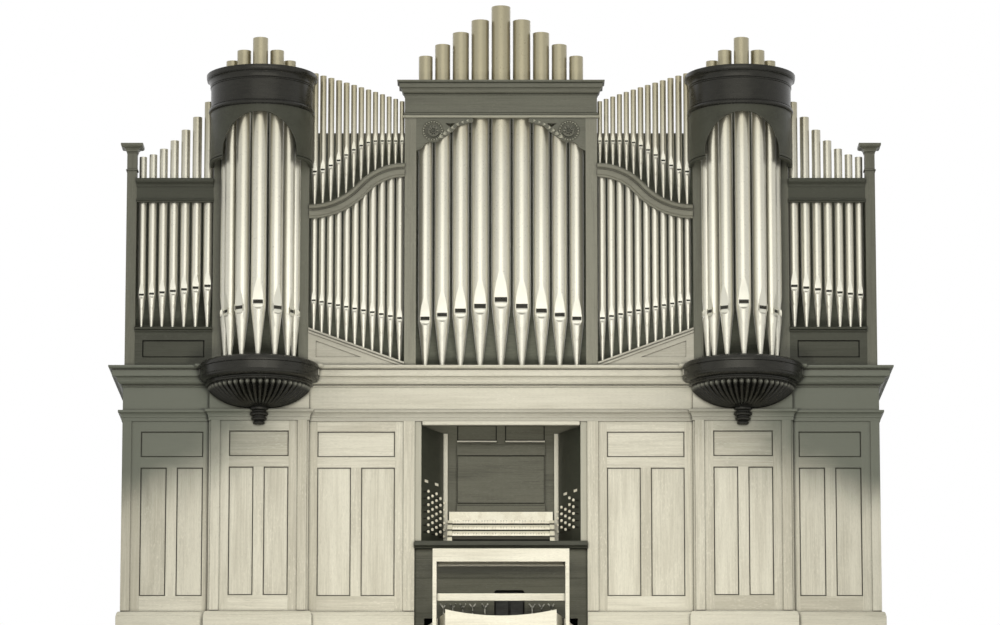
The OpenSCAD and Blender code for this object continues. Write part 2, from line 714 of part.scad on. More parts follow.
module slope_panels() color(oak) set_down() both_sides() {
    high_x = flat_inner_x;
    low_x = flat_centre_x;
    margin = 64;
    tri_high = slope_z(high_x - margin) - toe_board_t - margin * 0.7;
    tri_low = impost_z + margin * 1.4;
    tri_x = high_x - margin - (tri_high - tri_low) / ((slope_high_z - slope_low_z) / (high_x - low_x));
    difference() {
        translate([0, upper_board_t, 0]) rotate([90, 0, 0]) linear_extrude(upper_board_t)
            polygon([[low_x, impost_z], [high_x, impost_z], [high_x, slope_high_z - toe_board_t],
                     [low_x, slope_low_z - toe_board_t]]);
        translate([0, panel_sink, 0]) rotate([90, 0, 0]) linear_extrude(panel_sink + past)
            polygon([[high_x - margin, tri_high], [high_x - margin, tri_low], [tri_x, tri_low]]);
    }
    difference() {
        union() {
            translate([0, toe_board_depth, 0]) rotate([90, 0, 0]) linear_extrude(toe_board_depth)
                polygon([[low_x, slope_low_z], [high_x, slope_high_z],
                         [high_x, slope_high_z - toe_board_t], [low_x, slope_low_z - toe_board_t]]);
            for (drop = [0, toe_board_t * 0.62]) rotate([90, 0, 0]) linear_extrude(8)
                polygon([[low_x, slope_low_z - drop], [high_x, slope_high_z - drop],
                         [high_x, slope_high_z - drop - toe_board_t * 0.36],
                         [low_x, slope_low_z - drop - toe_board_t * 0.36]]);
        }
        for (p = lower_row) toe_hole(p[0], slope_z(p[0]), toe_r(p[1]));
    }
}

// One arc of the ogee rail; turned_over makes the hollow one, whose centre lies above it.
module ogee_arc(turned_over) {
    way = turned_over ? 1 : -1;
    function across(list) = [for (p = list) [ogee_r + way * p.y, p.x]];
    section = concat(
        [[-toe_board_depth, 0], [6, 0]],
        bead(8, 1, ogee_t * 0.34),
        [[4, ogee_t * 0.38], [4, ogee_t * 0.44]],
        ovolo([10, ogee_t * 0.46], [14, ogee_t * 0.6], 3),
        [[14, ogee_t * 0.82], [6, ogee_t * 0.88], [6, ogee_t]],
        [[-upper_board_t + 6, ogee_t], [-upper_board_t + 6, toe_board_t], [-toe_board_depth, toe_board_t]]);
    rotate([90, 0, 0]) rotate([0, 0, turned_over ? 270 - ogee_angle : 90 - ogee_angle])
        rotate_extrude(angle = ogee_angle) polygon(across(section));
}

module ogee_rails() color(oak) set_down() both_sides() difference() {
    union() {
        translate([flat_centre_x, 0, ogee_high_z - ogee_r]) ogee_arc(false);
        translate([flat_inner_x, 0, ogee_low_z + ogee_r]) ogee_arc(true);
    }
    for (p = upper_row) toe_hole(p[0], ogee_z(p[0]), toe_r(p[1]));
}

module centre_posts() color(oak) set_down() both_sides()
    translate([centre_post_x, 0, impost_z]) cube([centre_post_w, centre_post_w, centre_post_h]);

module centre_cornice() color(oak) set_down() {
    top_out = flat_centre_x;
    top_z = centre_cornice_z + centre_cornice_h;
    h = centre_bead_h;
    necking = concat([[0, 0]], bead(6, 1, h * 0.5), [[10, h * 0.55], [10, h * 0.8], [0, h]]);
    difference() {
        union() {
            moulded_block(-top_out, top_out, 0, upper_board_t, raised(necking, centre_bead_z));
            translate([-top_out, 0, centre_bead_z])
                cube([2 * top_out, centre_post_w, centre_bead_h + centre_frieze_h]);
            moulded_block(-top_out, top_out, 0, centre_post_w,
                          raised(cornice_profile(centre_cornice_out, centre_cornice_h), centre_cornice_z));
        }
        translate([-centre_post_x, upper_board_t, centre_bead_z - past])
            cube([2 * centre_post_x, centre_post_w, top_z - centre_bead_z + 2 * past]);
    }
}

// A scroll bracket's edge from the post to its tip, its eyelet and its eye: shares of length and drop.
bracket_edge = [[0, 1], [0.095, 0.92], [0.158, 0.78], [0.232, 0.715], [0.297, 0.736], [0.359, 0.725],
                [0.421, 0.651], [0.548, 0.525], [0.61, 0.437], [0.687, 0.331], [0.724, 0.225],
                [0.863, 0.183], [1, 0.116]];
bracket_eyelet = [[0.51, 0.165], [0.68, 0.165], [0.6, 0.285]];
bracket_eye = [0.29, 0.394];
ring_r = scroll_r * 0.07;
ring_sink = 1.5;
volute_h = 12;
volute_n = 24;

// A band that winds inward, as a leaf curls to the middle of a scroll.
function volute(t, side) = let (turn = 200 + 520 * t, r = scroll_r * (mix(0.53, 0.14, t)
    + side * mix(0.09, 0.03, t))) [r * cos(turn), r * sin(turn)];

function bracket_place(share) =
    [centre_post_x - bracket_l * share.x, centre_bead_z - bracket_drop * share.y];

module scroll_brackets() color(oak) set_down() both_sides() {
    eye = bracket_place(bracket_eye);
    translate([0, upper_board_t, 0]) rotate([90, 0, 0]) linear_extrude(upper_board_t) difference() {
        polygon(concat([for (p = bracket_edge) bracket_place(p)],
                       [bracket_place([1, 0]), bracket_place([0, 0])]));
        polygon([for (p = bracket_eyelet) bracket_place(p)]);
    }
    translate([eye.x, 0, eye.y]) rotate([90, 0, 0]) {
        for (ring = [0.91, 0.72])
            rotate_extrude() translate([scroll_r * ring, -ring_sink]) circle(r = ring_r);
        translate([0, 0, -volute_h]) linear_extrude(2 * volute_h) polygon(concat(
            [for (i = [0:volute_n]) volute(i / volute_n, 1)],
            [for (i = [volute_n:-1:0]) volute(i / volute_n, -1)]));
    }
}

// A pipe is [x, diameter, foot height, mouth height, top height].
function toe_r(d) = 4 + d * 0.09;
ear_t = 3;
ear_out = 0.12;
ear_rise = 0.15;

module pipe(d, foot_z, mouth_z, top_z, ears) {
    r = d / 2;
    mouth_w = d * 0.68;
    cut_up = d * 0.2;
    leaf_h = d * 1.6;
    flat_y = sqrt(r * r - pow(mouth_w / 2 + lip_step, 2));
    throat_r = flat_y - pipe_wall - 1;
    leaf_top = mouth_z + cut_up + leaf_h;
    leaf_r = (mouth_w * mouth_w / 4 + leaf_h * leaf_h) / mouth_w;
    leaf_n = 4;
    leaf = [for (i = [0:leaf_n]) let (h = leaf_h * i / leaf_n)
        [mouth_w / 2 - leaf_r + sqrt(leaf_r * leaf_r - h * h), mouth_z + cut_up + h]];
    difference() {
        rotate_extrude() polygon([
            [0, foot_z], [toe_r(d), foot_z], [r, mouth_z - d * 0.1], [r, top_z],
            [r - pipe_wall, top_z], [r - pipe_wall, leaf_top], [throat_r, leaf_top],
            [throat_r, mouth_z], [0, mouth_z]]);
        translate([0, -flat_y, 0]) rotate([90, 0, 0]) linear_extrude(d) polygon(concat(
            [[-mouth_w / 2, foot_z], [mouth_w / 2, foot_z]], leaf,
            reversed([for (i = [0:leaf_n - 1]) [-leaf[i].x, leaf[i].y]])));
        translate([lip_step - mouth_w / 2, -r - past, mouth_z])
            cube([mouth_w - 2 * lip_step, r + past - throat_r * 0.4, cut_up]);
    }
    if (ears) for (side = [-1, 1])
        translate([(side * mouth_w - ear_t) / 2, -flat_y - d * ear_out, mouth_z - d * ear_rise])
            cube([ear_t, d * ear_out + ear_t, cut_up + 2 * d * ear_rise]);
}

// Pipe centres side by side from x0 inward, with one gap between neighbours that fills the space.
function row_gap(x0, x1, d0, d1, n) = (abs(x1 - x0) - (n - 1) * (d0 + d1) / 2) / (n - 1);
function row_x(x0, x1, d0, d1, n, i) = let (way = x1 > x0 ? 1 : -1, gap = row_gap(x0, x1, d0, d1, n))
    x0 + way * (i * gap + i * d0 + (d1 - d0) * i * i / (2 * (n - 1)));

centre_half_n = (centre_pipes_n + 1) / 2;
centre_row = [for (i = [0:centre_half_n - 1]) let (
    t = i / (centre_half_n - 1),
    d = mix(centre_pipe_d, centre_pipe_end_d, t),
    x = row_x(0, centre_post_x - centre_pipe_end_d / 2 - centre_side_gap,
              centre_pipe_d, centre_pipe_end_d, centre_half_n, i))
    [x, d, impost_z, impost_z + mix(centre_mouth_h, centre_end_mouth_h, pow(t, 0.75)),
     impost_z + mix(centre_top_h, centre_end_top_h, pow(t, 0.92))]];

outer_row = [for (i = [0:outer_pipes_n - 1]) let (
    t = i / (outer_pipes_n - 1),
    d = mix(outer_pipe_small_d, outer_pipe_large_d, t),
    x = row_x(end_post_x - outer_pipe_small_d / 2 - wide_side_gap,
              flat_outer_x + outer_pipe_large_d / 2 + side_gap,
              outer_pipe_small_d, outer_pipe_large_d, outer_pipes_n, i))
    [x, d, end_toe_z, end_toe_z + mix(outer_small_mouth_h, outer_large_mouth_h, pow(t, 1.25)),
     end_toe_z + mix(outer_small_h, outer_large_h, pow(t, 1.75))]];

lower_row = [for (i = [0:lower_pipes_n - 1]) let (
    t = i / (lower_pipes_n - 1),
    d = mix(lower_pipe_small_d, lower_pipe_large_d, t),
    x = row_x(flat_inner_x - lower_pipe_small_d / 2 - wide_side_gap,
              flat_centre_x + lower_pipe_large_d / 2 + 2 * side_gap,
              lower_pipe_small_d, lower_pipe_large_d, lower_pipes_n, i),
    near = min(ogee_under(x - d / 2), ogee_under(x + d / 2)))
    [x, d, slope_z(x) - toe_sink,
     slope_z(x) + mix(lower_first_mouth_h, lower_last_mouth_h, t), near - side_gap]];

// Height of the underside of the ogee rail's shelf.
function ogee_under(x) = let (hollow_r = ogee_r + toe_board_t, round_r = ogee_r - toe_board_t)
    x > flat_centre_x + round_r * sin(ogee_angle)
        ? ogee_low_z + ogee_r - sqrt(max(0, pow(hollow_r, 2) - pow(flat_inner_x - x, 2)))
        : ogee_high_z - ogee_r + sqrt(max(0, pow(round_r, 2) - pow(x - flat_centre_x, 2)));

upper_row = [for (i = [0:upper_pipes_n - 1]) let (
    t = i / (upper_pipes_n - 1),
    d = mix(upper_pipe_large_d, upper_pipe_small_d, t),
    x = row_x(flat_inner_x - upper_pipe_large_d / 2 - wide_side_gap,
              flat_centre_x + upper_pipe_small_d / 2 + side_gap,
              upper_pipe_large_d, upper_pipe_small_d, upper_pipes_n, i),
    swell = pow(sin(90 * min(1, t / 0.7)), 1.6))
    [x, d, ogee_z(x) - toe_sink, ogee_low_z + mix(upper_first_mouth_h, upper_last_mouth_h, swell),
     ogee_low_z + mix(upper_first_h, upper_last_h, t)]];

tower_angles = [0, 28.5, 56, 83];
tower_mouths = [450, 410, 400, 412];
tower_tops = [2735, 2634, 2566, 2520];

module flat_pipes(row, side) for (p = row)
    translate([side * p[0], pipe_line_y, 0]) pipe(p[1], p[2], p[3], p[4], false);

module tower_pipes(side) translate([side * tower_x, tower_y, 0])
    for (i = [0:3], way = i == 0 ? [1] : [-1, 1])
        rotate([0, 0, way * tower_angles[i]]) translate([0, -tower_ring_r, 0])
            pipe(tower_pipe_d - i * tower_pipe_step, corbel_top_z,
                 corbel_top_z + tower_mouths[i], corbel_top_z + tower_tops[i], true);

module centre_pipes() color(pipe_metal) set_down()
    for (i = [0:len(centre_row) - 1], way = i == 0 ? [1] : [-1, 1]) let (p = centre_row[i])
        translate([way * p[0], centre_line_y, 0]) pipe(p[1], p[2], p[3], p[4], true);
module tower_pipes_left() color(pipe_metal) set_down() tower_pipes(-1);
module tower_pipes_right() color(pipe_metal) set_down() tower_pipes(1);
module outer_pipes_left() color(pipe_metal) set_down() flat_pipes(outer_row, -1);
module outer_pipes_right() color(pipe_metal) set_down() flat_pipes(outer_row, 1);
module lower_pipes_left() color(pipe_metal) set_down() flat_pipes(lower_row, -1);
module lower_pipes_right() color(pipe_metal) set_down() flat_pipes(lower_row, 1);
module upper_pipes_left() color(pipe_metal) set_down() flat_pipes(upper_row, -1);
module upper_pipes_right() color(pipe_metal) set_down() flat_pipes(upper_row, 1);

// Console
jamb_t = 22;
knob_r = 13;
knob_l = 50;
knob_pitch = 57;
knob_head_t = 12;
knob_edge = 3;
knob_stem = 0.42;
knob_rim = 0.6;
knobs_left_up = 96;
knobs_right_up = 136;
jamb_front_x = x_open - strip_w;
stile_w = 35;
jamb_angle = atan2(jamb_depth - board_t, jamb_front_x - jamb_back_half - stile_w);
jamb_l = (jamb_depth - board_t) / sin(jamb_angle);
recess_top_z = frieze_z;

module console_frame() color(oak) set_down() both_sides() {
    translate([jamb_front_x, 0, desk_top_z]) cube([strip_w, board_t, architrave_z - desk_top_z]);
    translate([jamb_back_half, jamb_depth, desk_top_z]) cube([stile_w, jamb_t, jamb_top_z - desk_top_z]);
}

module on_jamb() translate([jamb_front_x, board_t, 0]) rotate([0, 0, 180 - jamb_angle]) children();

module stop_jambs() color(stained) set_down() both_sides() on_jamb()
    translate([0, -jamb_t, desk_top_z]) cube([jamb_l, jamb_t, jamb_top_z - desk_top_z]);

// A turned knob: a stem, a rounded head and a shallow dish in its face.
module draw_knob() rotate([90, 0, 0]) rotate_extrude() polygon([
    [0, 0], [knob_r * knob_stem, 0], [knob_r * knob_stem, knob_l - knob_head_t - knob_edge],
    [knob_r - knob_edge, knob_l - knob_head_t], [knob_r, knob_l - knob_head_t + knob_edge],
    [knob_r, knob_l - knob_edge], [knob_r - knob_edge, knob_l], [knob_r * knob_rim, knob_l],
    [knob_r * knob_rim - 1, knob_l - knob_edge / 2], [0, knob_l - knob_edge / 2]]);

module draw_knobs() color(ivory) set_down() {
    columns = [0.12, 0.3, 0.48, 0.66, 0.84];
    left_rows = [7, 6, 7, 6, 6];
    right_rows = [5, 5, 4, 4, 4];
    for (side = [-1, 1]) mirror([side < 0 ? 1 : 0, 0, 0]) on_jamb() for (c = [0:len(columns) - 1])
        let (rows = side < 0 ? left_rows[c] : right_rows[c],
             low_z = desk_top_z + (side < 0 ? knobs_left_up : knobs_right_up))
            for (k = [0:rows - 1])
                translate([columns[c] * jamb_l, 0, low_z + knob_pitch * (k + (c % 2) / 2)])
                    mirror([0, 1, 0]) draw_knob();
}

label_w = 60;
label_h = 22;
label_t = 3;
left_label_z = 1380;
right_label_z = 1300;

module stop_labels() color(ivory) set_down() for (side = [-1, 1])
    mirror([side < 0 ? 1 : 0, 0, 0]) on_jamb() for (c = [0.2, 0.66])
        translate([c * jamb_l - label_w / 3, 0, side < 0 ? left_label_z : right_label_z])
            cube([label_w, label_t, label_h]);

module key_desk() color(stained) set_down() {
    nose = concat(bead(desk_out - 24, 0, desk_t * 0.16),
                  [[desk_out - 20, desk_t * 0.2]],
                  cavetto([desk_out - 16, desk_t * 0.22], [desk_out - 4, desk_t * 0.34]),
                  [[desk_out, desk_t * 0.36], [desk_out, desk_t * 0.9], [desk_out - 4, desk_t]]);
    rail(-x_open, x_open, 0, recess_depth, raised(nose, desk_top_z - desk_t));
}

key_front_y = board_t;
natural_w = keyboard_w / naturals_n;
bed_t = 30;
key_t = 20;
function row_y(k) = key_front_y + k * row_pitch;
function row_z(k) = desk_top_z + first_key_h + k * row_rise;

module key_frames() color(ivory) set_down() {
    cheek_w = jamb_back_half - keyboard_w / 2 - 2;
    for (k = [0:2]) {
        translate([-keyboard_w / 2, row_y(k) + 8, row_z(k) - key_t - bed_t])
            cube([keyboard_w, key_l - 8, bed_t]);
        both_sides() translate([keyboard_w / 2, row_y(k) - 6, desk_top_z])
            cube([cheek_w, name_y - row_y(k) + 6, row_z(k) + 4 - desk_top_z]);
    }
}

module natural_keys() color(ivory) set_down() for (k = [0:2], i = [0:naturals_n - 1])
    translate([-keyboard_w / 2 + i * natural_w + key_gap / 2, row_y(k), row_z(k) - key_t])
        cube([natural_w - key_gap, k == 2 ? key_l : row_pitch - 4, key_t]);

module sharp_keys() color(ebony) set_down() for (k = [0:2], i = [1:naturals_n - 1])
    if (len([for (step = [1, 2, 4, 5, 6]) if (i % 7 == step % 7) step]) > 0)
        translate([-keyboard_w / 2 + i * natural_w - 5, row_y(k) + 50, row_z(k)]) rotate([90, 0, 90])
            linear_extrude(10) polygon([[0, 0], [3, 11], [(k == 2 ? key_l : row_pitch) - 56, 11],
                                        [(k == 2 ? key_l : row_pitch) - 56, 0]]);

name_t = 18;
name_w = 2 * jamb_back_half - 28;
name_top_z = row_z(2) + 100;
name_y = row_y(2) + key_l;

module nameboard() color(ivory) set_down() {
    translate([-name_w / 2, name_y, desk_top_z]) cube([name_w, name_t, name_top_z - desk_top_z]);
}

module music_desk() color(oak_dark) set_down() {
    y = name_y + name_t + 20;
    desk_board_t = 22;
    top_rail = 90;
    low_rail = 24;
    ledge_y = name_y + 6;
    translate([-music_desk_w / 2, y, music_desk_z]) difference() {
        cube([music_desk_w, desk_board_t, music_desk_h]);
        translate([0, 0, low_rail]) panel_cut(music_desk_w, music_desk_h - top_rail - low_rail);
    }
    // the dark ledge between the nameboard and the desk
    translate([-music_desk_w / 2, ledge_y, name_top_z])
        cube([music_desk_w, y + desk_board_t - ledge_y, music_desk_z - name_top_z]);
}

module recess_boards() color(oak_dark) set_down() {
    back_w = 2 * x_open;
    small_w = (music_desk_w - 70) / 2;
    translate([-back_w / 2, recess_depth, desk_top_z]) difference() {
        cube([back_w, upper_board_t, recess_top_z - desk_top_z]);
        for (x = [back_w / 2 - 35 - small_w, back_w / 2 + 35])
            translate([x, 0, jamb_top_z - desk_top_z - 60]) panel_cut(small_w, 150);
    }
    deep = recess_depth + upper_board_t - board_t;
    translate([-back_w / 2, board_t, recess_top_z]) cube([back_w, deep, upper_board_t]);
    both_sides() translate([back_w / 2, board_t, desk_top_z])
        cube([upper_board_t, deep, recess_top_z + upper_board_t - desk_top_z]);
}

knee_y = 20;
knee_t = 22;
knee_leg_x = 640;
knee_foot_z = 215;
knee_joint_z = 552;
swell_x = 70;
swell_w = 252;
swell_h = 453;
swell_floor_z = knee_foot_z;
swell_depth = 190;
swell_pedal_h = 196;
swell_pedal_run = 120;
swell_pedal_t = 12;
swell_wall_t = 12;
swell_pedal_w = 104;
swell_pedal_x = 62;

swell_corner_r = 24;

module swell_cut() translate([swell_x, 0, 0]) rotate([90, 0, 0])
    linear_extrude(4 * board_t, center = true) {
        translate([-swell_w / 2, -past]) square([swell_w, swell_h + past - swell_corner_r]);
        translate([-swell_w / 2 + swell_corner_r, 0]) square([swell_w - 2 * swell_corner_r, swell_h]);
        for (side = [-1, 1])
            translate([side * (swell_w / 2 - swell_corner_r), swell_h - swell_corner_r])
                circle(r = swell_corner_r);
    }

module kneeboard() color(oak) set_down() {
    translate([0, knee_y, 0]) difference() {
        translate([-x_open, 0, knee_foot_z]) cube([2 * x_open, knee_t, desk_top_z - desk_t - knee_foot_z]);
        swell_cut();
        translate([-x_open - past, -past, knee_joint_z]) cube([2 * (x_open + past), past + 3, 4]);
    }
    both_sides() translate([knee_leg_x, knee_y, 0]) cube([x_open - knee_leg_x, knee_t, knee_foot_z]);
}

module swell_pedals() color(iron) set_down() {
    box_h = swell_h - swell_floor_z;
    // the dark box that the two balanced pedals stand in
    translate([swell_x - swell_w / 2 - swell_wall_t, knee_y + knee_t, swell_floor_z]) difference() {
        cube([swell_w + 2 * swell_wall_t, swell_depth, box_h + swell_wall_t]);
        translate([swell_wall_t, -past, swell_wall_t])
            cube([swell_w, swell_depth + past - swell_wall_t, box_h - swell_wall_t]);
    }
    for (side = [-1, 1])
        translate([swell_x + side * swell_pedal_x - swell_pedal_w / 2, knee_y + knee_t + side_gap,
                   swell_floor_z + swell_wall_t])
            rotate([90, 0, 90]) linear_extrude(swell_pedal_w)
                polygon([[0, 0], [swell_pedal_t, 0], [swell_pedal_run, swell_pedal_h - swell_pedal_t / 2],
                         [swell_pedal_run - swell_pedal_t, swell_pedal_h], [0, swell_pedal_t]]);
}

// A toe lever: a forked plate on an arm that comes through the knee board.
module toe_lever() {
    w = lever_t / 2;
    fork = [[-w, -fork_drop], [w, -fork_drop], [w, 2 * w],
            [fork_half, fork_h - 1.2 * w], [fork_half - 1.6 * w, fork_h], [0, 4 * w],
            [1.6 * w - fork_half, fork_h], [-fork_half, fork_h - 1.2 * w], [-w, 2 * w]];
    translate([0, lever_t - lever_out, 0]) rotate([90, 0, 0]) linear_extrude(lever_t) polygon(fork);
    translate([-arm_w / 2, lever_t / 2 - lever_out, arm_w / 2 - fork_drop])
        cube([arm_w, lever_out - lever_t / 2, arm_w]);
}

lever_t = 10;
lever_out = 46;
fork_drop = 40;
fork_half = 30;
fork_h = 50;
arm_w = 8;
lever_z = 286;
lever_x = [-480, -400, -318, -236, -134, 260, 338, 418];

module toe_levers() color(iron) set_down() for (x = lever_x) translate([x, knee_y, lever_z]) toe_lever();

heel_y = -reach;
heel_t = 25;
bar_w = 60;
naturals_gap = 7;
mid_bar_run = 360;
sharps_run = 430;
natural_pedal_w = 20;
sharp_pedal_w = 14;
sharp_pedal_h = 30;
pedal_dip_h = 62;
fan_slope = 0.197;
fan_y = heel_y - heel_half / fan_slope;
pedal_rest_z = 40;
pedal_end_y = knee_y + bar_w;
function arc_top(x) = mix(heel_mid_h, heel_end_h, (x * x) / (heel_half * heel_half));

module pedal_frame() color(oak) set_down() {
    steps = 16;
    side_angle = atan(fan_slope);
    side_l = (knee_y - heel_y) / cos(side_angle);
    translate([0, heel_y + heel_t, 0]) rotate([90, 0, 0]) linear_extrude(heel_t) polygon(concat(
        [[-heel_half, 0], [heel_half, 0]],
        [for (i = [0:steps]) let (x = heel_half - 2 * heel_half * i / steps) [x, arc_top(x)]]));
    both_sides() translate([heel_half, heel_y, 0]) rotate([0, 0, -side_angle])
        translate([-heel_t, 6, 0]) cube([heel_t, side_l - 6, heel_end_h - 30]);
    translate([-knee_leg_x, knee_y, 0]) cube([2 * knee_leg_x, bar_w, pedal_rest_z]);
    mid_half = heel_half + fan_slope * mid_bar_run - heel_t / 2;
    translate([-mid_half, heel_y + mid_bar_run, 0]) cube([2 * mid_half, bar_w, pedal_rest_z]);
}

pedal_pitch_angle = 2 * (atan(fan_slope) - 0.75) / pedal_naturals_n;
function pedal_angle(i) = (i - (pedal_naturals_n - 1) / 2) * pedal_pitch_angle;
function pedal_dip(a) = pedal_dip_h + (heel_end_h - heel_mid_h) * pow(a / atan(fan_slope), 2);

module pedal_naturals() color(oak_dark) set_down() for (i = [0:pedal_naturals_n - 1])
    let (a = pedal_angle(i), start = (heel_y + heel_t + naturals_gap - fan_y) / cos(a),
         end = (pedal_end_y - fan_y) / cos(a))
        translate([0, fan_y, pedal_rest_z]) rotate([0, 0, -a]) translate([-natural_pedal_w / 2, start, 0])
            cube([natural_pedal_w, end - start, pedal_dip(a)]);

// A sharp's side: it rests on the back bar and its playing end is rounded off in front.
module pedal_sharps() color(ebony) set_down() for (i = [1:pedal_naturals_n - 1])
    if (len([for (step = [1, 2, 4, 5, 6]) if (i % 7 == step % 7) step]) > 0)
        let (a = (pedal_angle(i) + pedal_angle(i - 1)) / 2,
             start = (heel_y + sharps_run - fan_y) / cos(a), l = (pedal_end_y - fan_y) / cos(a) - start,
             top = pedal_dip(a) + sharp_pedal_h, nose = sharp_pedal_h)
            translate([0, fan_y, pedal_rest_z]) rotate([0, 0, -a])
                translate([-sharp_pedal_w / 2, start, 0]) rotate([90, 0, 90]) linear_extrude(sharp_pedal_w)
                    polygon(concat(
                        [[0, 0], [l, 0], [l, top]],
                        [for (t = [0:15:75]) [nose - nose * sin(t), top - nose + nose * cos(t)]]));

module bench() color(oak) set_down() {
    seat_t = 28;
    apron_h = 80;
    apron_t = 24;
    stretcher_t = 30;
    stretcher_h = 60;
    stretcher_z = 276;
    middle_y = -600;
    foot_notch_r = 70;
    y0 = middle_y - bench_w / 2;
    both_sides() translate([bench_l / 2 - bench_end_t, y0, 0]) difference() {
        cube([bench_end_t, bench_w, bench_h - seat_t]);
        translate([-past, bench_w / 2, -past]) rotate([0, 90, 0])
            cylinder(h = bench_end_t + 2 * past, r = foot_notch_r);
    }
    translate([-bench_l / 2, y0, bench_h - seat_t]) cube([bench_l, bench_w, seat_t]);
    for (y = [y0, y0 + bench_w - apron_t])
        translate([-bench_l / 2 + bench_end_t, y, bench_h - seat_t - apron_h])
            cube([bench_l - 2 * bench_end_t, apron_t, apron_h]);
    translate([-bench_l / 2 + bench_end_t, middle_y - stretcher_t / 2, stretcher_z])
        cube([bench_l - 2 * bench_end_t, stretcher_t, stretcher_h]);
}

plinths();
outer_bays();
tower_bays();
inner_bays();
side_walls();
back_wall();
architrave();
frieze();
impost_cornice();
impost_deck();
upper_sides();
case_roof();
pipe_screens();
end_posts();
toe_panels();
transoms();
tower_posts();
tower_caps();
pipe_shades();
corbels();
pendants();
slope_panels();
ogee_rails();
centre_posts();
centre_cornice();
scroll_brackets();
centre_pipes();
tower_pipes_left();
tower_pipes_right();
outer_pipes_left();
outer_pipes_right();
lower_pipes_left();
lower_pipes_right();
upper_pipes_left();
upper_pipes_right();
console_frame();
recess_boards();
stop_jambs();
draw_knobs();
stop_labels();
key_desk();
key_frames();
natural_keys();
sharp_keys();
nameboard();
music_desk();
kneeboard();
swell_pedals();
toe_levers();
pedal_frame();
pedal_naturals();
pedal_sharps();
bench();
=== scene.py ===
# %% [markdown]
# # A pipe organ, from plain solids to a finished picture
#
# The case, the pipes and the console come as a finished frame of solid parts, at real size and
# in metres. This lesson lights them, gives every part its own finish, and adds the small turned,
# carved and rounded work that a plain solid lacks.
#
# The frame's parts are loaded first.

# %% Load the frame
import math
import bmesh
import bpy
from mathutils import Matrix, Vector


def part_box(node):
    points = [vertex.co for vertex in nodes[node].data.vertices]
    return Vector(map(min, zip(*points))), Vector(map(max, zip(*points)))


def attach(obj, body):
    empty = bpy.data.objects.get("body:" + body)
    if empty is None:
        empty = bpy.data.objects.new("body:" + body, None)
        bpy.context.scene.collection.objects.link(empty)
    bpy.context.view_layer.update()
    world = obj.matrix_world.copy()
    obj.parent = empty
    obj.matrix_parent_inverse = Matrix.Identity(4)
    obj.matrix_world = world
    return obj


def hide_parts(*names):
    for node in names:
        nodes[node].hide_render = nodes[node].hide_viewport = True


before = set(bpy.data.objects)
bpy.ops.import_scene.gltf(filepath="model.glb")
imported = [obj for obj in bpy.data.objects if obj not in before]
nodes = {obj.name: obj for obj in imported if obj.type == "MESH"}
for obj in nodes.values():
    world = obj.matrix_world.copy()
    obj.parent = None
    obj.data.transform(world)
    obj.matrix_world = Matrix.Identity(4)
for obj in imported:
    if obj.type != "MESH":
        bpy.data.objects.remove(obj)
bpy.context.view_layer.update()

# %% [markdown]
# ## The camera
#
# The picture was taken from far away and from below, with a long lens. A shifted lens keeps
# uprights parallel, and a tilted one shows the same undersides. We tilt the camera and shift it
# only a little, because every other view keeps the shift.

# %% Camera
image_wide, image_high = 1000, 625
lens_pixels = 4843
case_front_y = -0.560
camera_x, camera_away, camera_height = -0.008, 40.0, -5.2
tilt_up = 10.14
camera = bpy.data.objects.new("far_camera", bpy.data.cameras.new("far_camera"))
bpy.context.scene.collection.objects.link(camera)
camera.data.sensor_width = 36
camera.data.lens = lens_pixels * camera.data.sensor_width / image_wide
camera.data.shift_y = 0.1
camera.data.clip_end = 300
camera.location = (camera_x, case_front_y - camera_away, camera_height)
camera.rotation_euler = (math.radians(90 + tilt_up), 0, 0)
bpy.context.scene.camera = camera
print("lens", round(camera.data.lens, 1), "mm, frame", image_wide, "x", image_high)

# %% [markdown]
# ## The floor
#
# The floor is a plain pale slab that keeps the organ's shadow. It ends just before the bench,
# because the camera stands lower than the floor, and a longer one would hide the organ's foot.

# %% Floor
floor_front, floor_reach, floor_thick = -1.62, 14.0, 0.04
corners = [(x, y, z) for z in (-floor_thick, 0) for x in (-floor_reach, floor_reach)
           for y in (floor_front, floor_reach)]
slab_sides = [(0, 1, 3, 2), (4, 6, 7, 5), (0, 2, 6, 4), (1, 5, 7, 3), (0, 4, 5, 1), (2, 3, 7, 6)]
floor_mesh = bpy.data.meshes.new("floor")
floor_mesh.from_pydata(corners, [], slab_sides)
floor = bpy.data.objects.new("floor", floor_mesh)
bpy.context.scene.collection.objects.link(floor)
print("floor from", floor_front, "to", floor_reach)

# %% [markdown]
# ## The sky
#
# One strength of white can't serve both as the picture's background and as light on the wood.
# So the world asks what kind of ray meets it: it is plain white to the eye and to mirrors, and
# much softer to the light that falls on the wood.

# %% Sky
world = bpy.data.worlds.new("sky")
bpy.context.scene.world = world
world.use_nodes = True
sky = world.node_tree
sky.nodes.clear()


def either_ray(first, second):
    """1 where one kind of ray or the other meets the sky."""
    larger = sky.nodes.new("ShaderNodeMath")
    larger.operation = "MAXIMUM"
    sky.links.new(first, larger.inputs[0])
    sky.links.new(second, larger.inputs[1])
    return larger.outputs[0]


def glow(colour, strength):
    """A plain sky of one colour."""
    background = sky.nodes.new("ShaderNodeBackground")
    background.inputs["Color"].default_value = (*colour, 1)
    background.inputs["Strength"].default_value = strength
    return background.outputs[0]


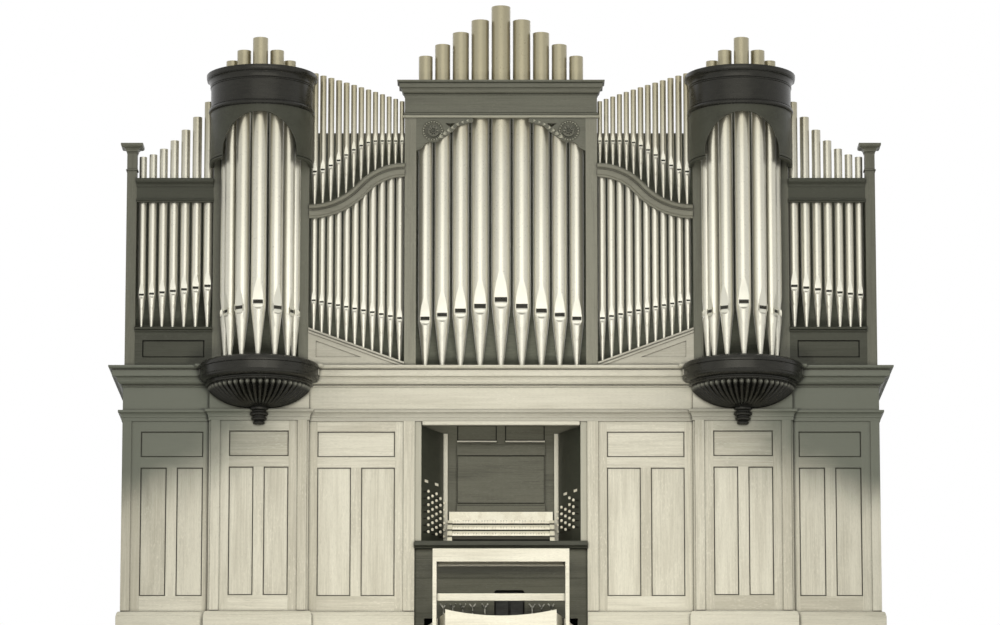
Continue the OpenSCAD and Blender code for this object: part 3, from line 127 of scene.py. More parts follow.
rays = sky.nodes.new("ShaderNodeLightPath").outputs
seen = either_ray(rays["Is Camera Ray"], rays["Is Glossy Ray"])
choice = sky.nodes.new("ShaderNodeMixShader")
sky_out = sky.nodes.new("ShaderNodeOutputWorld")
sky.links.new(either_ray(seen, rays["Is Transmission Ray"]), choice.inputs[0])
sky.links.new(glow((1.0, 0.99, 0.95), 0.20), choice.inputs[1])
sky.links.new(glow((1, 1, 1), 1.0), choice.inputs[2])
sky.links.new(choice.outputs[0], sky_out.inputs[0])
bpy.context.scene.view_settings.view_transform = "Standard"
print("sky nodes", len(sky.nodes))

# %% [markdown]
# ## The lamps
#
# A soft lamp stands in front and two tall ones at the sides, as daylight falls into a large
# room. A low one lights the foot of the case, and one behind lights its back. None of these
# shows in mirrors, where each would draw its own line down every pipe. Instead a very wide lamp
# in front is seen only in polished surfaces, so each round pipe gets one broad, soft band, and a
# small one puts a faint streak in the middle of it.

# %% Lamps
def soft_lamp(name, place, aim, wide, high, watts, colour, in_mirrors=False, on_wood=True):
    """A rectangular lamp at a place, turned towards its aim."""
    lamp = bpy.data.objects.new(name, bpy.data.lights.new(name, "AREA"))
    bpy.context.scene.collection.objects.link(lamp)
    lamp.data.shape = "RECTANGLE"
    lamp.data.size, lamp.data.size_y = wide, high
    lamp.data.energy = watts
    lamp.data.color = colour
    lamp.visible_camera = False
    lamp.visible_glossy = in_mirrors
    lamp.visible_diffuse = on_wood
    lamp.location = place
    lamp.rotation_euler = (Vector(aim) - Vector(place)).to_track_quat("-Z", "Y").to_euler()


case_middle, case_foot = (0, 0, 2.9), (0, 0, 0.6)
daylight, side_light, warm_light = (1, 0.99, 0.94), (1, 0.99, 0.95), (1, 0.98, 0.92)
soft_lamp("front_window", (0, -10.5, 4.9), case_middle, 4.5, 4.4, 190, daylight)
soft_lamp("near_window", (0, -10.4, 3.4), case_middle, 1.1, 1.2, 12, daylight, in_mirrors=True)
soft_lamp("wide_window", (0, -10.6, 4.4), case_middle, 11.0, 5.0, 245, warm_light,
          in_mirrors=True, on_wood=False)
soft_lamp("left_window", (-12.0, -5.0, 5.2), (0, 0, 2.0), 1.8, 7.0, 380, side_light)
soft_lamp("right_window", (11.5, -5.2, 4.8), (0, 0, 2.0), 1.8, 7.0, 350, side_light)
soft_lamp("low_window", (0, -6.0, 0.6), case_foot, 1.8, 0.8, 225, warm_light)
soft_lamp("back_window", (0, 9.5, 6.0), (0, 1.3, 1.8), 7.0, 4.0, 300, side_light)

# %% [markdown]
# ## A small kit for finishes
#
# A finish is a network of nodes, and most of them are sums. Wiring sums by hand hides what they
# mean, so one small class wraps an output socket and lets Python's own signs add the Math nodes.

# %% Wires that reckon
class Wire:
    """An output socket that Python's operators can reckon with."""

    def __init__(self, finish, socket):
        self.finish, self.socket = finish, socket

    def reckon(self, operation, *values):
        return self.finish.node("ShaderNodeMath", {"operation": operation}, *values)

    def __add__(self, other):
        return self.reckon("ADD", self, other)

    def __radd__(self, other):
        return self.reckon("ADD", other, self)

    def __sub__(self, other):
        return self.reckon("SUBTRACT", self, other)

    def __rsub__(self, other):
        return self.reckon("SUBTRACT", other, self)

    def __mul__(self, other):
        return self.reckon("MULTIPLY", self, other)

    def __rmul__(self, other):
        return self.reckon("MULTIPLY", other, self)

    def __truediv__(self, other):
        return self.reckon("DIVIDE", self, other)

    def __gt__(self, other):
        return self.reckon("GREATER_THAN", self, other)

    def __lt__(self, other):
        return self.reckon("LESS_THAN", self, other)

    def __abs__(self):
        return self.reckon("ABSOLUTE", self)

    def __floor__(self):
        return self.reckon("FLOOR", self)

    def ramped(self, low, high):
        """0 below low, 1 above high, and smooth between."""
        return self.finish.node("ShaderNodeMapRange", {"interpolation_type": "SMOOTHSTEP"},
                                self, low, high, 0.0, 1.0)


def between(value, low, high):
    """1 where the value lies between two limits."""
    return (value > low) * (value < high)


def steps(value, edges):
    """How many of the edges lie below the value."""
    total = value > edges[0]
    for edge in edges[1:]:
        total = total + (value > edge)
    return total


print("wires ready")

# %% [markdown]
# Every other node comes from one method, which takes the node's type, its settings, and what its
# sockets get. Around it stand the few things that all finishes here share: the place on the
# organ, noise, mixed colours, dark crevices and fine relief.

# %% Finishes
class Finish:
    """One material while it is made."""

    def __init__(self, name):
        self.material = bpy.data.materials.new(name)
        self.material.use_nodes = True
        self.tree = self.material.node_tree
        self.tree.nodes.clear()
        self.skin = self.tree.nodes.new("ShaderNodeBsdfPrincipled")
        end = self.tree.nodes.new("ShaderNodeOutputMaterial")
        self.tree.links.new(self.skin.outputs[0], end.inputs["Surface"])

    def feed(self, socket, value):
        """Links a wire to a socket, or sets the socket's own number or colour."""
        if isinstance(value, Wire):
            self.tree.links.new(value.socket, socket)
        elif isinstance(value, tuple) and len(value) == 3 and len(socket.default_value) == 4:
            socket.default_value = (*value, 1)
        else:
            socket.default_value = value

    def node(self, kind, settings=None, *values, take=None, **named):
        """A node of a type, with its settings first, then values by place or by name."""
        made = self.tree.nodes.new(kind)
        for key, value in (settings or {}).items():
            setattr(made, key, value)
        for socket, value in zip([s for s in made.inputs if s.enabled], values):
            self.feed(socket, value)
        for key, value in named.items():
            self.feed(made.inputs[key.replace("_", " ")], value)
        return Wire(self, made.outputs[take] if take else
                    next(s for s in made.outputs if s.enabled))

    def wear(self, **sockets):
        """Sets the sockets of the skin, such as Base_Color or Roughness."""
        for key, value in sockets.items():
            self.feed(self.skin.inputs[key.replace("_", " ")], value)

    def axes(self):
        """The place on the organ, in metres, as three numbers."""
        place = self.node("ShaderNodeTexCoord", take="Object")
        outputs = self.node("ShaderNodeSeparateXYZ", {}, place).socket.node.outputs
        return [Wire(self, outputs[k]) for k in ("X", "Y", "Z")]

    def point(self, x, y, z):
        return self.node("ShaderNodeCombineXYZ", {}, x, y, z)

    def noise(self, where, scale=1.0, detail=2.0, roughness=0.5):
        return self.node("ShaderNodeTexNoise", Vector=where, Scale=scale, Detail=detail,
                         Roughness=roughness)

    def mix(self, share, first, second):
        return self.node("ShaderNodeMix", {"data_type": "RGBA"}, share, first, second)

    def crevice(self, distance, samples=6):
        """1 in the open and less in corners; the finishes darken corners with it, as painted
        shade.
        """
        return self.node("ShaderNodeAmbientOcclusion", {"samples": samples}, Distance=distance,
                         take="AO")

    def proud(self, low, high):
        """1 on edges and tips that stand out, 0 in hollows."""
        return self.node("ShaderNodeNewGeometry", take="Pointiness").ramped(low, high)

    def bump(self, height, strength, distance, round_edge=0.0):
        """A normal with fine relief, over edges that are softly rounded."""
        base = {}
        if round_edge:
            base["Normal"] = self.node("ShaderNodeBevel", {"samples": 4}, Radius=round_edge)
        return self.node("ShaderNodeBump", {}, Strength=strength, Distance=distance,
                         Height=height, **base)


def scaled(colour, by):
    """A colour made darker or lighter as a whole."""
    return tuple(c * by for c in colour)


def dress(material, *parts):
    """Gives CAD parts their finish."""
    for part in parts:
        mesh = nodes[part].data
        mesh.materials.clear()
        mesh.materials.append(material)


print("finishes ready")

# %% [markdown]
# ## Oak
#
# The case is framed oak: upright stiles, rails across, and panels between. Each board has its
# own tone and its own grain, and the grain turns at every joint. A photo of wood would repeat,
# so the grain is made of stretched noise: wide for the figure, fine for the streaks, and short
# dark dashes for the pores. Pale flecks cross it, as on oak that is sawn through its rays.
#
# A board's number comes from its place between the joints. The same number shifts the noise, so
# no two boards look alike.

# %% Oak
far_shade_tone, pale_band_tone, stile_shade_tone = (0.104, 0.113, 0.088), (0.40, 0.39, 0.31), (0.25, 0.25, 0.20)
# Painted shade darkens oak that is far out and high up: the heights, and the scores between which
# it does.
far_shade_heights, far_shade_scores = (0.9, 2.1), (2.0, 8.8)
eased_edge = 0.003


def oak(name, light, dark, lay, far_shade=0.0, fleck_share=0.6, sheen=0.35, pale_band=None,
        shaded_past=None):
    """Oak whose lay gives the ways along, across and through the board, and its number.

    Oak far out to the sides and high up can be painted darker, as painted shade, so it stays paler
    round the player.
    A moulding can be paler between two heights. Stiles far out to the sides can be darker and
    greyer, as painted shade."""
    wood = Finish(name)
    x, y, z = wood.axes()
    along, across, through, board = lay(x, y, z)
    luck = wood.node("ShaderNodeTexWhiteNoise", {"noise_dimensions": "1D"}, W=board, take="Value")
    shift = luck * 37.0

    def stretched(per_along, per_across):
        return wood.point(along * per_along + shift, across * per_across + shift,
                          through * per_across)

    figure = wood.noise(stretched(0.8, 8.0), detail=4.0, roughness=0.6)
    streak = wood.noise(stretched(2.5, 85.0), detail=3.0, roughness=0.65)
    pore = wood.noise(stretched(26.0, 900.0), detail=1.0).ramped(0.58, 0.70)
    ray = wood.noise(stretched(30.0, 95.0), detail=2.0, roughness=0.6).ramped(0.55, 0.68)
    patch = wood.noise(stretched(2.0, 5.0), detail=1.0).ramped(0.42, 0.60)
    fleck = ray * patch * fleck_share
    tone = (figure - 0.5) * 1.5 + (streak - 0.5) * 1.1 + (luck - 0.5) * 0.55 + 0.5
    colour = wood.mix(tone.ramped(0.0, 1.0), dark, light)
    paler = tuple(min(1, c * 1.16 + 0.02) for c in light)
    colour = wood.mix(fleck * 0.6, colour, paler)
    colour = wood.mix(pore * 0.35, colour, scaled(dark, 0.42))
    # Far out and high up the oak is darkened: painted shade.
    if far_shade:
        height = z.ramped(*far_shade_heights)
        far = x * x * (height * 1.2 + 0.35) + (patch - 0.5) * 0.6
        colour = wood.mix(far.ramped(*far_shade_scores) * far_shade, colour, far_shade_tone)
    # A band between two heights is made paler.
    if pale_band:
        colour = wood.mix(between(z, *pale_band) * (0.65 + streak * 0.5), colour, pale_band_tone)
    # Stiles far out to the sides are darker and greyer: painted shade.
    if shaded_past:
        colour = wood.mix((abs(x) > shaded_past) * 0.85, colour, wood.mix(streak, dark, stile_shade_tone))
    # Quirks and corners are darkened: painted shade.
    crevice_shade = 1 - wood.crevice(0.03).ramped(0.38, 0.97)
    colour = wood.mix(crevice_shade * 0.9, colour, scaled(dark, 0.12))
    wood.wear(Base_Color=colour,
              Roughness=0.42 + (streak - 0.5) * 0.18 + pore * 0.12 - fleck * 0.08 + crevice_shade * 0.2,
              Specular_IOR_Level=sheen,
              Normal=wood.bump(streak * 0.35 - pore * 0.6 + fleck * 0.1, 0.35, 0.0008,
                               eased_edge))
    return wood.material


print("oak edges eased by", eased_edge)

# %% [markdown]
# The three bays of the lower case share their heights: a rail, tall panels, a rail, a small
# panel and a rail. Between the stiles every rail and the small panel lie flat, so their grain
# runs across. All else stands.

# %% Grain of the lower case
joint_heights = [0.276, 0.400, 1.485, 1.574, 1.791]
bay_joints = [0.888, 1.1705, 1.2555, 1.538, 1.610, 1.777, 1.984, 2.069, 2.276, 2.443, 2.495,
              2.714, 2.799, 3.018]
bay_insides = [(0.888, 1.538), (1.777, 2.276), (2.495, 3.018)]
side_joints = [-0.443, -0.249, -0.164, 0.031, 0.175, 0.369, 0.454, 0.649, 0.793, 0.988, 1.073,
               1.268]
side_insides = [(-0.443, 0.031), (0.175, 0.649), (0.793, 1.268)]
# Each board's number decides its chance tone. These two give the pale boards of the real case,
# and the next two keep the numbers of rails and small panels apart from those of stiles.
left_boards, right_boards = 285.5, 331.0
numbers_a_height, first_lying = 20.0, 31.0


def framed(run, insides, joints):
    """The lay of framed boards whose rails run along one axis."""
    def lay(x, y, z):
        way, through = (abs(x), y) if run == "x" else (y, x)
        side = (x > 0.0) * right_boards
        inside = between(way, *insides[0])
        for low_high in insides[1:]:
            inside = inside + between(way, *low_high)
        lying = inside * ((z < joint_heights[1]) + (z > joint_heights[2])).ramped(0.4, 0.6)
        standing_board = steps(way, joints)
        bays_passed = steps(way, [end for start, end in insides])
        lying_board = steps(z, joint_heights) * numbers_a_height + bays_passed + first_lying
        board = standing_board + (lying_board - standing_board) * lying + side
        along = z + (way - z) * lying
        across = way + (z - way) * lying
        return along, across, through, board + left_boards
    return lay


def straight(run, boards=0.0):
    """The lay of plain boards: along x or z, or glued up from boards of one width.

    A board along x crosses the middle in one piece, so only upright ones differ left and
    right."""
    def lay(x, y, z):
        along, across, through = (x, z, y) if run == "x" else (z, x, y)
        board = (x > 0.0) * (5.0 if run == "z" else 0.0) + 0.5
        if boards:
            board = board + math.floor(across / boards)
        return along, across, through, board
    return lay


print("joints over the bays", len(bay_joints), "and over the sides", len(side_joints))

# %% [markdown]
# The print shows several tones of the same oak. The lower case is palest, its mouldings are a
# step darker, the frame round the pipes is dark, and the boards in shadow are darker again.

# %% Oak on the case
light_oak, shade_oak = (0.63, 0.605, 0.505), (0.43, 0.405, 0.325)
upper_oak = (0.132, 0.132, 0.100), (0.075, 0.074, 0.054)
shadow_oak = (0.062, 0.064, 0.048), (0.034, 0.034, 0.025)
fair_oak = (0.225, 0.220, 0.172), (0.135, 0.130, 0.098)
# The second number is how strongly painted shade darkens the outer, higher oak.
moulding_tone, far_shade_share = 0.68, 0.95
bead_low, bead_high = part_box("centre_cornice")[0][2], 0.025

dress(oak("oak_bays", light_oak, shade_oak, framed("x", bay_insides, bay_joints), far_shade=far_shade_share),
      "outer_bays", "tower_bays", "inner_bays")
dress(oak("oak_sides", light_oak, shade_oak, framed("y", side_insides, side_joints), far_shade=far_shade_share),
      "side_walls")
course_oak = oak("oak_courses", scaled(light_oak, 0.93), shade_oak, straight("x"), far_shade=far_shade_share)
dress(course_oak, "plinths", "frieze", "impost_cornice")
dress(oak("oak_mouldings", scaled(light_oak, moulding_tone), scaled(shade_oak, moulding_tone),
          straight("x"), far_shade=far_shade_share), "architrave")
dress(oak("oak_uprights", *upper_oak, straight("z")), "end_posts", "tower_posts", "upper_sides")
dress(oak("oak_posts", *fair_oak, straight("z")), "centre_posts")
dress(oak("oak_rails", *upper_oak, straight("x"), pale_band=(bead_low, bead_low + bead_high)),
      "centre_cornice", "scroll_brackets")
dress(oak("oak_arches", *fair_oak, straight("x")), "ogee_rails")
dress(oak("oak_deep", *shadow_oak, straight("x"), sheen=0.2),
      "transoms", "toe_panels", "pipe_shades")
dress(oak("oak_slopes", scaled(light_oak, 0.72), scaled(shade_oak, 0.8), straight("x")),
      "slope_panels")
dress(oak("oak_backs", *upper_oak, straight("z", 0.19), fleck_share=0.2),
      "back_wall", "case_roof", "impost_deck")
light_board_oak = oak("oak_light_boards", light_oak, shade_oak, straight("x"))
dress(light_board_oak, "bench", "pedal_frame")
# The console's outer stiles get painted shade.
dress(oak("oak_console_frame", light_oak, shade_oak, straight("z"), shaded_past=0.6),
      "console_frame")
# The recess, music desk, knee board and pedal naturals get darker copies of the oak: painted shade
# of the recess and the knee space.
dress(oak("oak_recess_painted_shade", (0.125, 0.123, 0.094), (0.055, 0.054, 0.040), straight("x"), sheen=0.2),
      "recess_boards", "music_desk")
dress(oak("oak_knee_painted_shade", (0.094, 0.093, 0.070), (0.042, 0.042, 0.031), straight("x"), sheen=0.2),
      "kneeboard", "pedal_naturals")
print("oak finishes", len([m for m in bpy.data.materials if m.name.startswith("oak")]))

# %% [markdown]
# ## Pipe metal
#
# Front pipes are a soft alloy of tin and lead, planed and burnished by hand. They are pale, with a
# satin sheen, a faint mottle from casting, and streaks round and down the body. The lower part is
# painted paler, as painted light, and the tops are tarnished and painted darker, partly real
# tarnish and partly painted shade.

# %% Pipe metal
lower_light_tone, tarnish_and_shade_tone, gap_shade_tone = (0.95, 0.93, 0.82), (0.34, 0.30, 0.18), (0.028, 0.028, 0.021)
lower_light_ends, tarnish_and_shade_starts = (3.0, 4.1), (4.0, 4.85)


def pipe_metal(name, deep, pale, gloss, metallic, shadow, lower_light):
    """Soft metal that is mottled between a deep and a pale tone."""
    metal = Finish(name)
    x, y, z = metal.axes()
    mottle = metal.noise(metal.point(x, y, z * 0.7), scale=70.0, detail=3.0, roughness=0.7)
    drift = metal.noise(metal.point(x * 6.0, y * 6.0, z * 0.8), detail=3.0)
    brushed = metal.noise(metal.point(x * 900.0, y * 900.0, z * 6.0), detail=2.0)
    shade = (mottle - 0.5) * 0.5 + (drift - 0.5) * 0.7 + (brushed - 0.5) * 0.25 + 0.5
    colour = metal.mix(shade.ramped(0.0, 1.0), deep, pale)
    shaded_gap = 1 - metal.crevice(0.04, 8).ramped(0.05, 0.65)
    # Low down the metal is painted paler: painted light.
    colour = metal.mix((1 - z.ramped(*lower_light_ends)) * lower_light, colour, lower_light_tone)
    # High up the metal is darker and yellower: partly real tarnish, partly painted shade.
    colour = metal.mix(z.ramped(*tarnish_and_shade_starts) * 0.8, colour, tarnish_and_shade_tone)
    # Gaps between pipes and other corners are darkened: painted shade.
    colour = metal.mix(shaded_gap * shadow, colour, gap_shade_tone)
    metal.wear(Base_Color=colour, Metallic=metallic, Sheen_Weight=1.0, Sheen_Roughness=0.35,
               Roughness=gloss + (mottle - 0.5) * 0.16 + (brushed - 0.5) * 0.12 + shaded_gap * 0.25,
               Normal=metal.bump(brushed * 0.3 + mottle * 0.7, 0.12, 0.0006))
    return metal.material


body_metal = pipe_metal("pipe_metal", (0.45, 0.435, 0.36), (0.63, 0.61, 0.515),
                        gloss=0.31, metallic=0.7, shadow=0.05, lower_light=0.22)
pipe_nodes = [part for part in nodes if "_pipes" in part]
dress(body_metal, *pipe_nodes)
print("pipe nodes", pipe_nodes)

# %% [markdown]
# ## Mouths, leaves and feet
#
# Over each mouth the metal is pressed flat in the shape of a leaf and burnished, and below it a
# round lip is beaten out. Each of these is a thin plate, added pipe by pipe. A part of the frame
# holds a whole row of pipes, so the row is first taken apart into the solids that don't touch.

# %% Separate solids
def loose_parts(mesh):
    """The points of each separate solid in a mesh."""
    work = bmesh.new()
    work.from_mesh(mesh)
    bmesh.ops.remove_doubles(work, verts=work.verts, dist=0.00001)
    seen, parts = set(), []
    for first in work.verts:
        if first in seen:
            continue
        seen.add(first)
        waiting, part = [first], []
        while waiting:
            vert = waiting.pop()
            part.append(vert.co.copy())
            for edge in vert.link_edges:
                other = edge.other_vert(vert)
                if other not in seen:
                    seen.add(other)
                    waiting.append(other)
        parts.append(part)
    work.free()
    return parts


print("solids in the middle row", len(loose_parts(nodes["centre_pipes"].data)))

# %% [markdown]
# Nothing is measured by hand: a pipe's axis, radius and mouth are read from its own solid. The
# pipes of a tower stand on a ring, and each faces away from the ring's middle.

# %% Find the pipes
tower_ring = 0.290
shortest_pipe = 0.4
throat_high, same_level = 3.6, 0.0006
rim_depth = 0.0005


def measure_pipe(points):
    """Axis, radius and heights of one pipe."""
    top, foot = max(p.z for p in points), min(p.z for p in points)
    rim = [Vector((p.x, p.y)) for p in points if p.z > top - rim_depth]
    axis = sum(rim, Vector((0, 0))) / len(rim)
    radius = max((p - axis).length for p in rim)
    toe = max((Vector((p.x, p.y)) - axis).length for p in points if p.z < foot + rim_depth)
    return {"axis": axis, "r": radius, "foot": foot, "toe": toe, "facing": Vector((0, -1)),
            "points": points}


def find_mouth(pipe):
    """The height of the mouth, where the pipe's narrower throat starts.

    Both ends of the throat have points at the back that lie nearer the axis than the skin."""
    heights = set()
    for p in pipe.pop("points"):
        out = Vector((p.x, p.y)) - pipe["axis"]
        if out.dot(pipe["facing"]) < -0.2 * pipe["r"] and out.length < 0.95 * pipe["r"]:
            heights.add(round(p.z, 4))
    throat = throat_high * pipe["r"]
    pipe["mouth"] = max(z for z in heights
                        if any(abs(other - z - throat) < same_level for other in heights))


pipes = {}
for part in pipe_nodes:
    row = [measure_pipe(solid) for solid in loose_parts(nodes[part].data)
           if max(p.z for p in solid) - min(p.z for p in solid) > shortest_pipe]
    row_middle = sum(pipe["axis"].x for pipe in row) / len(row)
    if part.startswith("tower"):
        tower_axis = Vector((row_middle, min(pipe["axis"].y for pipe in row) + tower_ring))
        for pipe in row:
            pipe["facing"] = (pipe["axis"] - tower_axis).normalized()
    for pipe in row:
        find_mouth(pipe)
    pipes[part] = row
    if part == "tower_pipes_right":
        tower_middle = row_middle
print({part: len(row) for part, row in pipes.items()}, "tower at", round(tower_middle, 3))

# %% [markdown]
# Every piece that this lesson adds is a sheet or a solid on the fixed case. A sheet is a list of
# rings of points, and the same few lines turn sheets into a mesh and seat it on the case.

# %% Pieces
def add_piece(name, mesh, slot, *materials):
    """An object on the fixed case. The slot is not used."""
    for material in materials:
        mesh.materials.append(material)
    piece = bpy.data.objects.new(name, mesh)
    bpy.context.scene.collection.objects.link(piece)
    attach(piece, "root")
    return piece


def smooth_mesh(name, points, faces):
    mesh = bpy.data.meshes.new(name)
    mesh.from_pydata(points, [], faces)
    for face in mesh.polygons:
        face.use_smooth = True
    return mesh


def add_sheets(name, sheets, slot, material, turned=False):
    """Thin domed sheets in one piece. Turned ones list each face the other way round."""
    points, faces = [], []
    for rings in sheets:
        start, wide = len(points), len(rings[0])
        for ring in rings:
            points.extend(ring)
        for j in range(len(rings) - 1):
            for i in range(wide - 1):
                k = start + j * wide + i
                if turned:
                    faces.append((k, k + wide, k + wide + 1, k + 1))
                else:
                    faces.append((k, k + 1, k + wide + 1, k + wide))
    return add_piece(name, smooth_mesh(name, points, faces), slot, material)


print("ready to add pieces")

# %% [markdown]
# The plates follow the flattened metal of the solid pipe, which is a little wider than they
# are, and stand half a millimetre in front of it. The leaf is sunk deepest at the mouth and
# rises to the pipe's own skin at its tip.

# %% Leaves and lips
# Shares of the pipe's radius, then lengths in metres.
mouth_high, leaf_high, leaf_dome = 0.5, 3.1, 0.02
lip_half, lip_high, lip_bulge, lip_sunk = 0.68, 0.62, 0.10, 0.12
lip_margin, skin_gap, lip_edge = 0.0012, 0.0006, 0.0004
six_across = (-1, -0.6, -0.2, 0.2, 0.6, 1)


def pipe_spot(pipe, aside, out, z):
    """A point at a height, so far aside from a pipe's axis and so far out to its front."""
    facing = pipe["facing"]
    spot = pipe["axis"] + Vector((-facing.y, facing.x)) * aside + facing * out
    return (spot.x, spot.y, z)


def skin_depth(r, aside):
    """How far before its axis a pipe's skin lies where it is cut off this far aside."""
    return math.sqrt(r * r - (aside + lip_margin) ** 2)


def leaf_plate(pipe):
    """The burnished leaf over a mouth, from its tip down."""
    r, rows = pipe["r"], 8
    half, leaf = lip_half * r, leaf_high * r
    bend = (half * half + leaf * leaf) / (2 * half)
    rings = []
    for j in range(rows + 1):
        up = leaf * 0.995 * j / rows
        width = half - bend + math.sqrt(bend * bend - up * up)
        out = skin_depth(r, width) + skin_gap
        z = pipe["mouth"] + mouth_high * r + up
        rings.append([pipe_spot(pipe, width * s,
                                out + leaf_dome * r * (1 - s * s) * (1 - j / rows), z)
                      for s in six_across])
    return rings[::-1]


def lip_plate(pipe):
    """The round lip under a mouth."""
    r, rows = pipe["r"], 6
    half = lip_half * r
    flat = skin_depth(r, half)
    rings = [[pipe_spot(pipe, half * s, flat - lip_sunk * r, pipe["mouth"] + lip_edge)
              for s in six_across]]
    for j in range(rows + 1):
        turn = math.pi / 2 * j / rows
        width = half * math.cos(turn) ** 0.6 if j < rows else half * 0.05
        bulge = lip_bulge * r * math.sin(math.pi * min(1, 0.25 + 0.75 * j / rows))
        z = pipe["mouth"] - lip_high * r * math.sin(turn)
        rings.append([pipe_spot(pipe, width * s, flat + skin_gap + bulge * (1 - 0.6 * s * s), z)
                      for s in six_across])
    return rings


burnished = pipe_metal("burnished_metal", (0.57, 0.56, 0.48), (0.68, 0.665, 0.575),
                       gloss=0.36, metallic=0.5, shadow=0.8, lower_light=0.1)
print("leaves", leaf_high, "radii high over mouths", mouth_high, "radii high")

# %% [markdown]
# The solid pipes are flat below the mouth too, where real feet are round cones. So a thin round
# front is laid over the flat metal, from the curved edge under the lip down to where the cone is
# whole. Behind the lips lies the mouth itself, a slot covered by a dark sheet of painted shade.

# %% Feet and mouths
shoulder_drop, foot_rows, foot_columns = 0.2, 10, 12
edge_drop, edge_curve, foot_gap = 0.66, 3.33, 0.0003
slot_half, slot_bend, slot_deep = 0.66, 0.4, 0.004


def foot_front(pipe):
    """The round front of a foot."""
    r = pipe["r"]
    half = lip_half * r
    flat = skin_depth(r, half)
    shoulder = pipe["mouth"] - shoulder_drop * r
    slope = (r - pipe["toe"]) / (shoulder - pipe["foot"])
    end = shoulder - (r - flat) / slope
    rings = []
    for j in range(foot_rows + 1):
        ring = []
        for i in range(foot_columns + 1):
            side = i / (foot_columns / 2) - 1
            edge = pipe["mouth"] - edge_drop * r * math.sqrt(max(0, 1 - abs(side) ** edge_curve))
            z = edge + (end - edge) * max(0, j - 1) / (foot_rows - 1)
            radius = r - slope * max(0, shoulder - z)
            aside = side * min(half, math.sqrt(max(0, radius * radius - flat * flat)))
            out = math.sqrt(radius * radius - aside * aside) + foot_gap if j else flat - foot_gap
            ring.append(pipe_spot(pipe, aside, out, z))
        rings.append(ring)
    return rings


def mouth_gap(pipe):
    """A dark sheet of painted shade over the slot behind the lips, at and just inside the
    flattened metal.
    """
    r, half = pipe["r"], slot_half * pipe["r"]
    flat = skin_depth(r, lip_half * r)
    heights_and_depths = ((mouth_high * r * 1.05, 0.0004), (slot_bend * r, 0.0004),
                          (slot_bend * r, -slot_deep), (0.0008, -slot_deep))
    return [[pipe_spot(pipe, half * side, flat + out, pipe["mouth"] + up) for side in (-1, 0, 1)]
            for up, out in heights_and_depths]


# A near-black sheet in each mouth: painted shade.
mouth_shade = Finish("mouth_painted_shade")
x, y, z = mouth_shade.axes()
shade_map = mouth_shade.noise(mouth_shade.point(x, y, z), scale=60.0, detail=3.0)
mouth_shade.wear(Base_Color=mouth_shade.mix(shade_map, (0.020, 0.020, 0.016), (0.055, 0.053, 0.044)), Roughness=0.9,
          Normal=mouth_shade.bump(shade_map, 0.3, 0.001))
for part, row in pipes.items():
    plates = [plate(pipe) for pipe in row for plate in (leaf_plate, lip_plate)]
    add_sheets(part + "_plates", plates, "pipe_metal", burnished)
    add_sheets(part + "_feet", [foot_front(pipe) for pipe in row], "pipe_metal", body_metal)
    add_sheets(part + "_mouths", [mouth_gap(pipe) for pipe in row], "pipe_metal", mouth_shade.material)
print("plates on", sum(len(row) for row in pipes.values()), "pipes")

# %% [markdown]
# ## Dark stained work
#
# The tower caps and the carved bowls are stained nearly black and polished. The stain lets only a
# little of the grain through. What shows it as polished is the bright line of a window along each
# turned edge, and the painted highlight on the tips of the carving. Corners get painted shade.

# %% Stained
def stained(name, deep, warm, gloss, coat, highlit_tips=None):
    """Dark polished wood with painted shade in its corners. Tips that stand proud between two
    heights get a painted highlight.
    """
    wood = Finish(name)
    x, y, z = wood.axes()
    grain = wood.noise(wood.point(x * 14.0, y * 14.0, z * 60.0), detail=4.0, roughness=0.6)
    worn = wood.noise(wood.point(x, y, z), scale=9.0, detail=4.0, roughness=0.6)
    colour = wood.mix(((grain - 0.5) * 1.4 + 0.5).ramped(0.1, 0.9), deep, warm)
    # Corners are darkened: painted shade.
    shade_map = wood.crevice(0.04).ramped(0.2, 0.9)
    colour = wood.mix((1 - shade_map) * 0.7, colour, scaled(deep, 0.25))
    # Proud tips between two heights are painted paler: painted highlight.
    if highlit_tips:
        tip_highlight = wood.proud(0.50, 0.56) * z.ramped(*highlit_tips)
        colour = wood.mix(tip_highlight * 0.7, colour, (0.20, 0.20, 0.165))
    wood.wear(Base_Color=colour, Roughness=gloss + (worn - 0.5) * 0.12 + (grain - 0.5) * 0.1,
              Specular_IOR_Level=0.34, Specular_Tint=(1.0, 0.97, 0.88), Coat_Weight=coat,
              Coat_Roughness=0.22, Normal=wood.bump(grain, 0.15, 0.0006, 0.002))
    return wood.material


dress(stained("stained_turned", (0.006, 0.006, 0.005), (0.015, 0.015, 0.012), 0.28, 0.0),
      "tower_caps", "corbels", "pendants")
dress(stained("stained_boards", (0.026, 0.027, 0.020), (0.040, 0.042, 0.030), 0.45, 0.1),
      "stop_jambs", "key_desk")
screen_stain = stained("stained_screens", (0.135, 0.142, 0.112), (0.19, 0.197, 0.155), 0.75, 0.0)
dress(screen_stain, "pipe_screens")
ebony = stained("ebony", (0.012, 0.011, 0.010), (0.024, 0.021, 0.018), 0.30, 0.15)
dress(ebony, "sharp_keys", "pedal_sharps")
dress(stained("iron_paint", (0.030, 0.030, 0.028), (0.060, 0.060, 0.056), 0.5, 0.0),
      "swell_pedals")
print("stains", [m.name for m in bpy.data.materials if m.name.startswith("stained")])

# %% [markdown]
# ## Ivory
#
# Natural keys, labels and knob faces are ivory or bone. It has fine lines along its growth and
# soft clouds of yellow, and the corners between neighbouring keys are darkened, as painted shade.

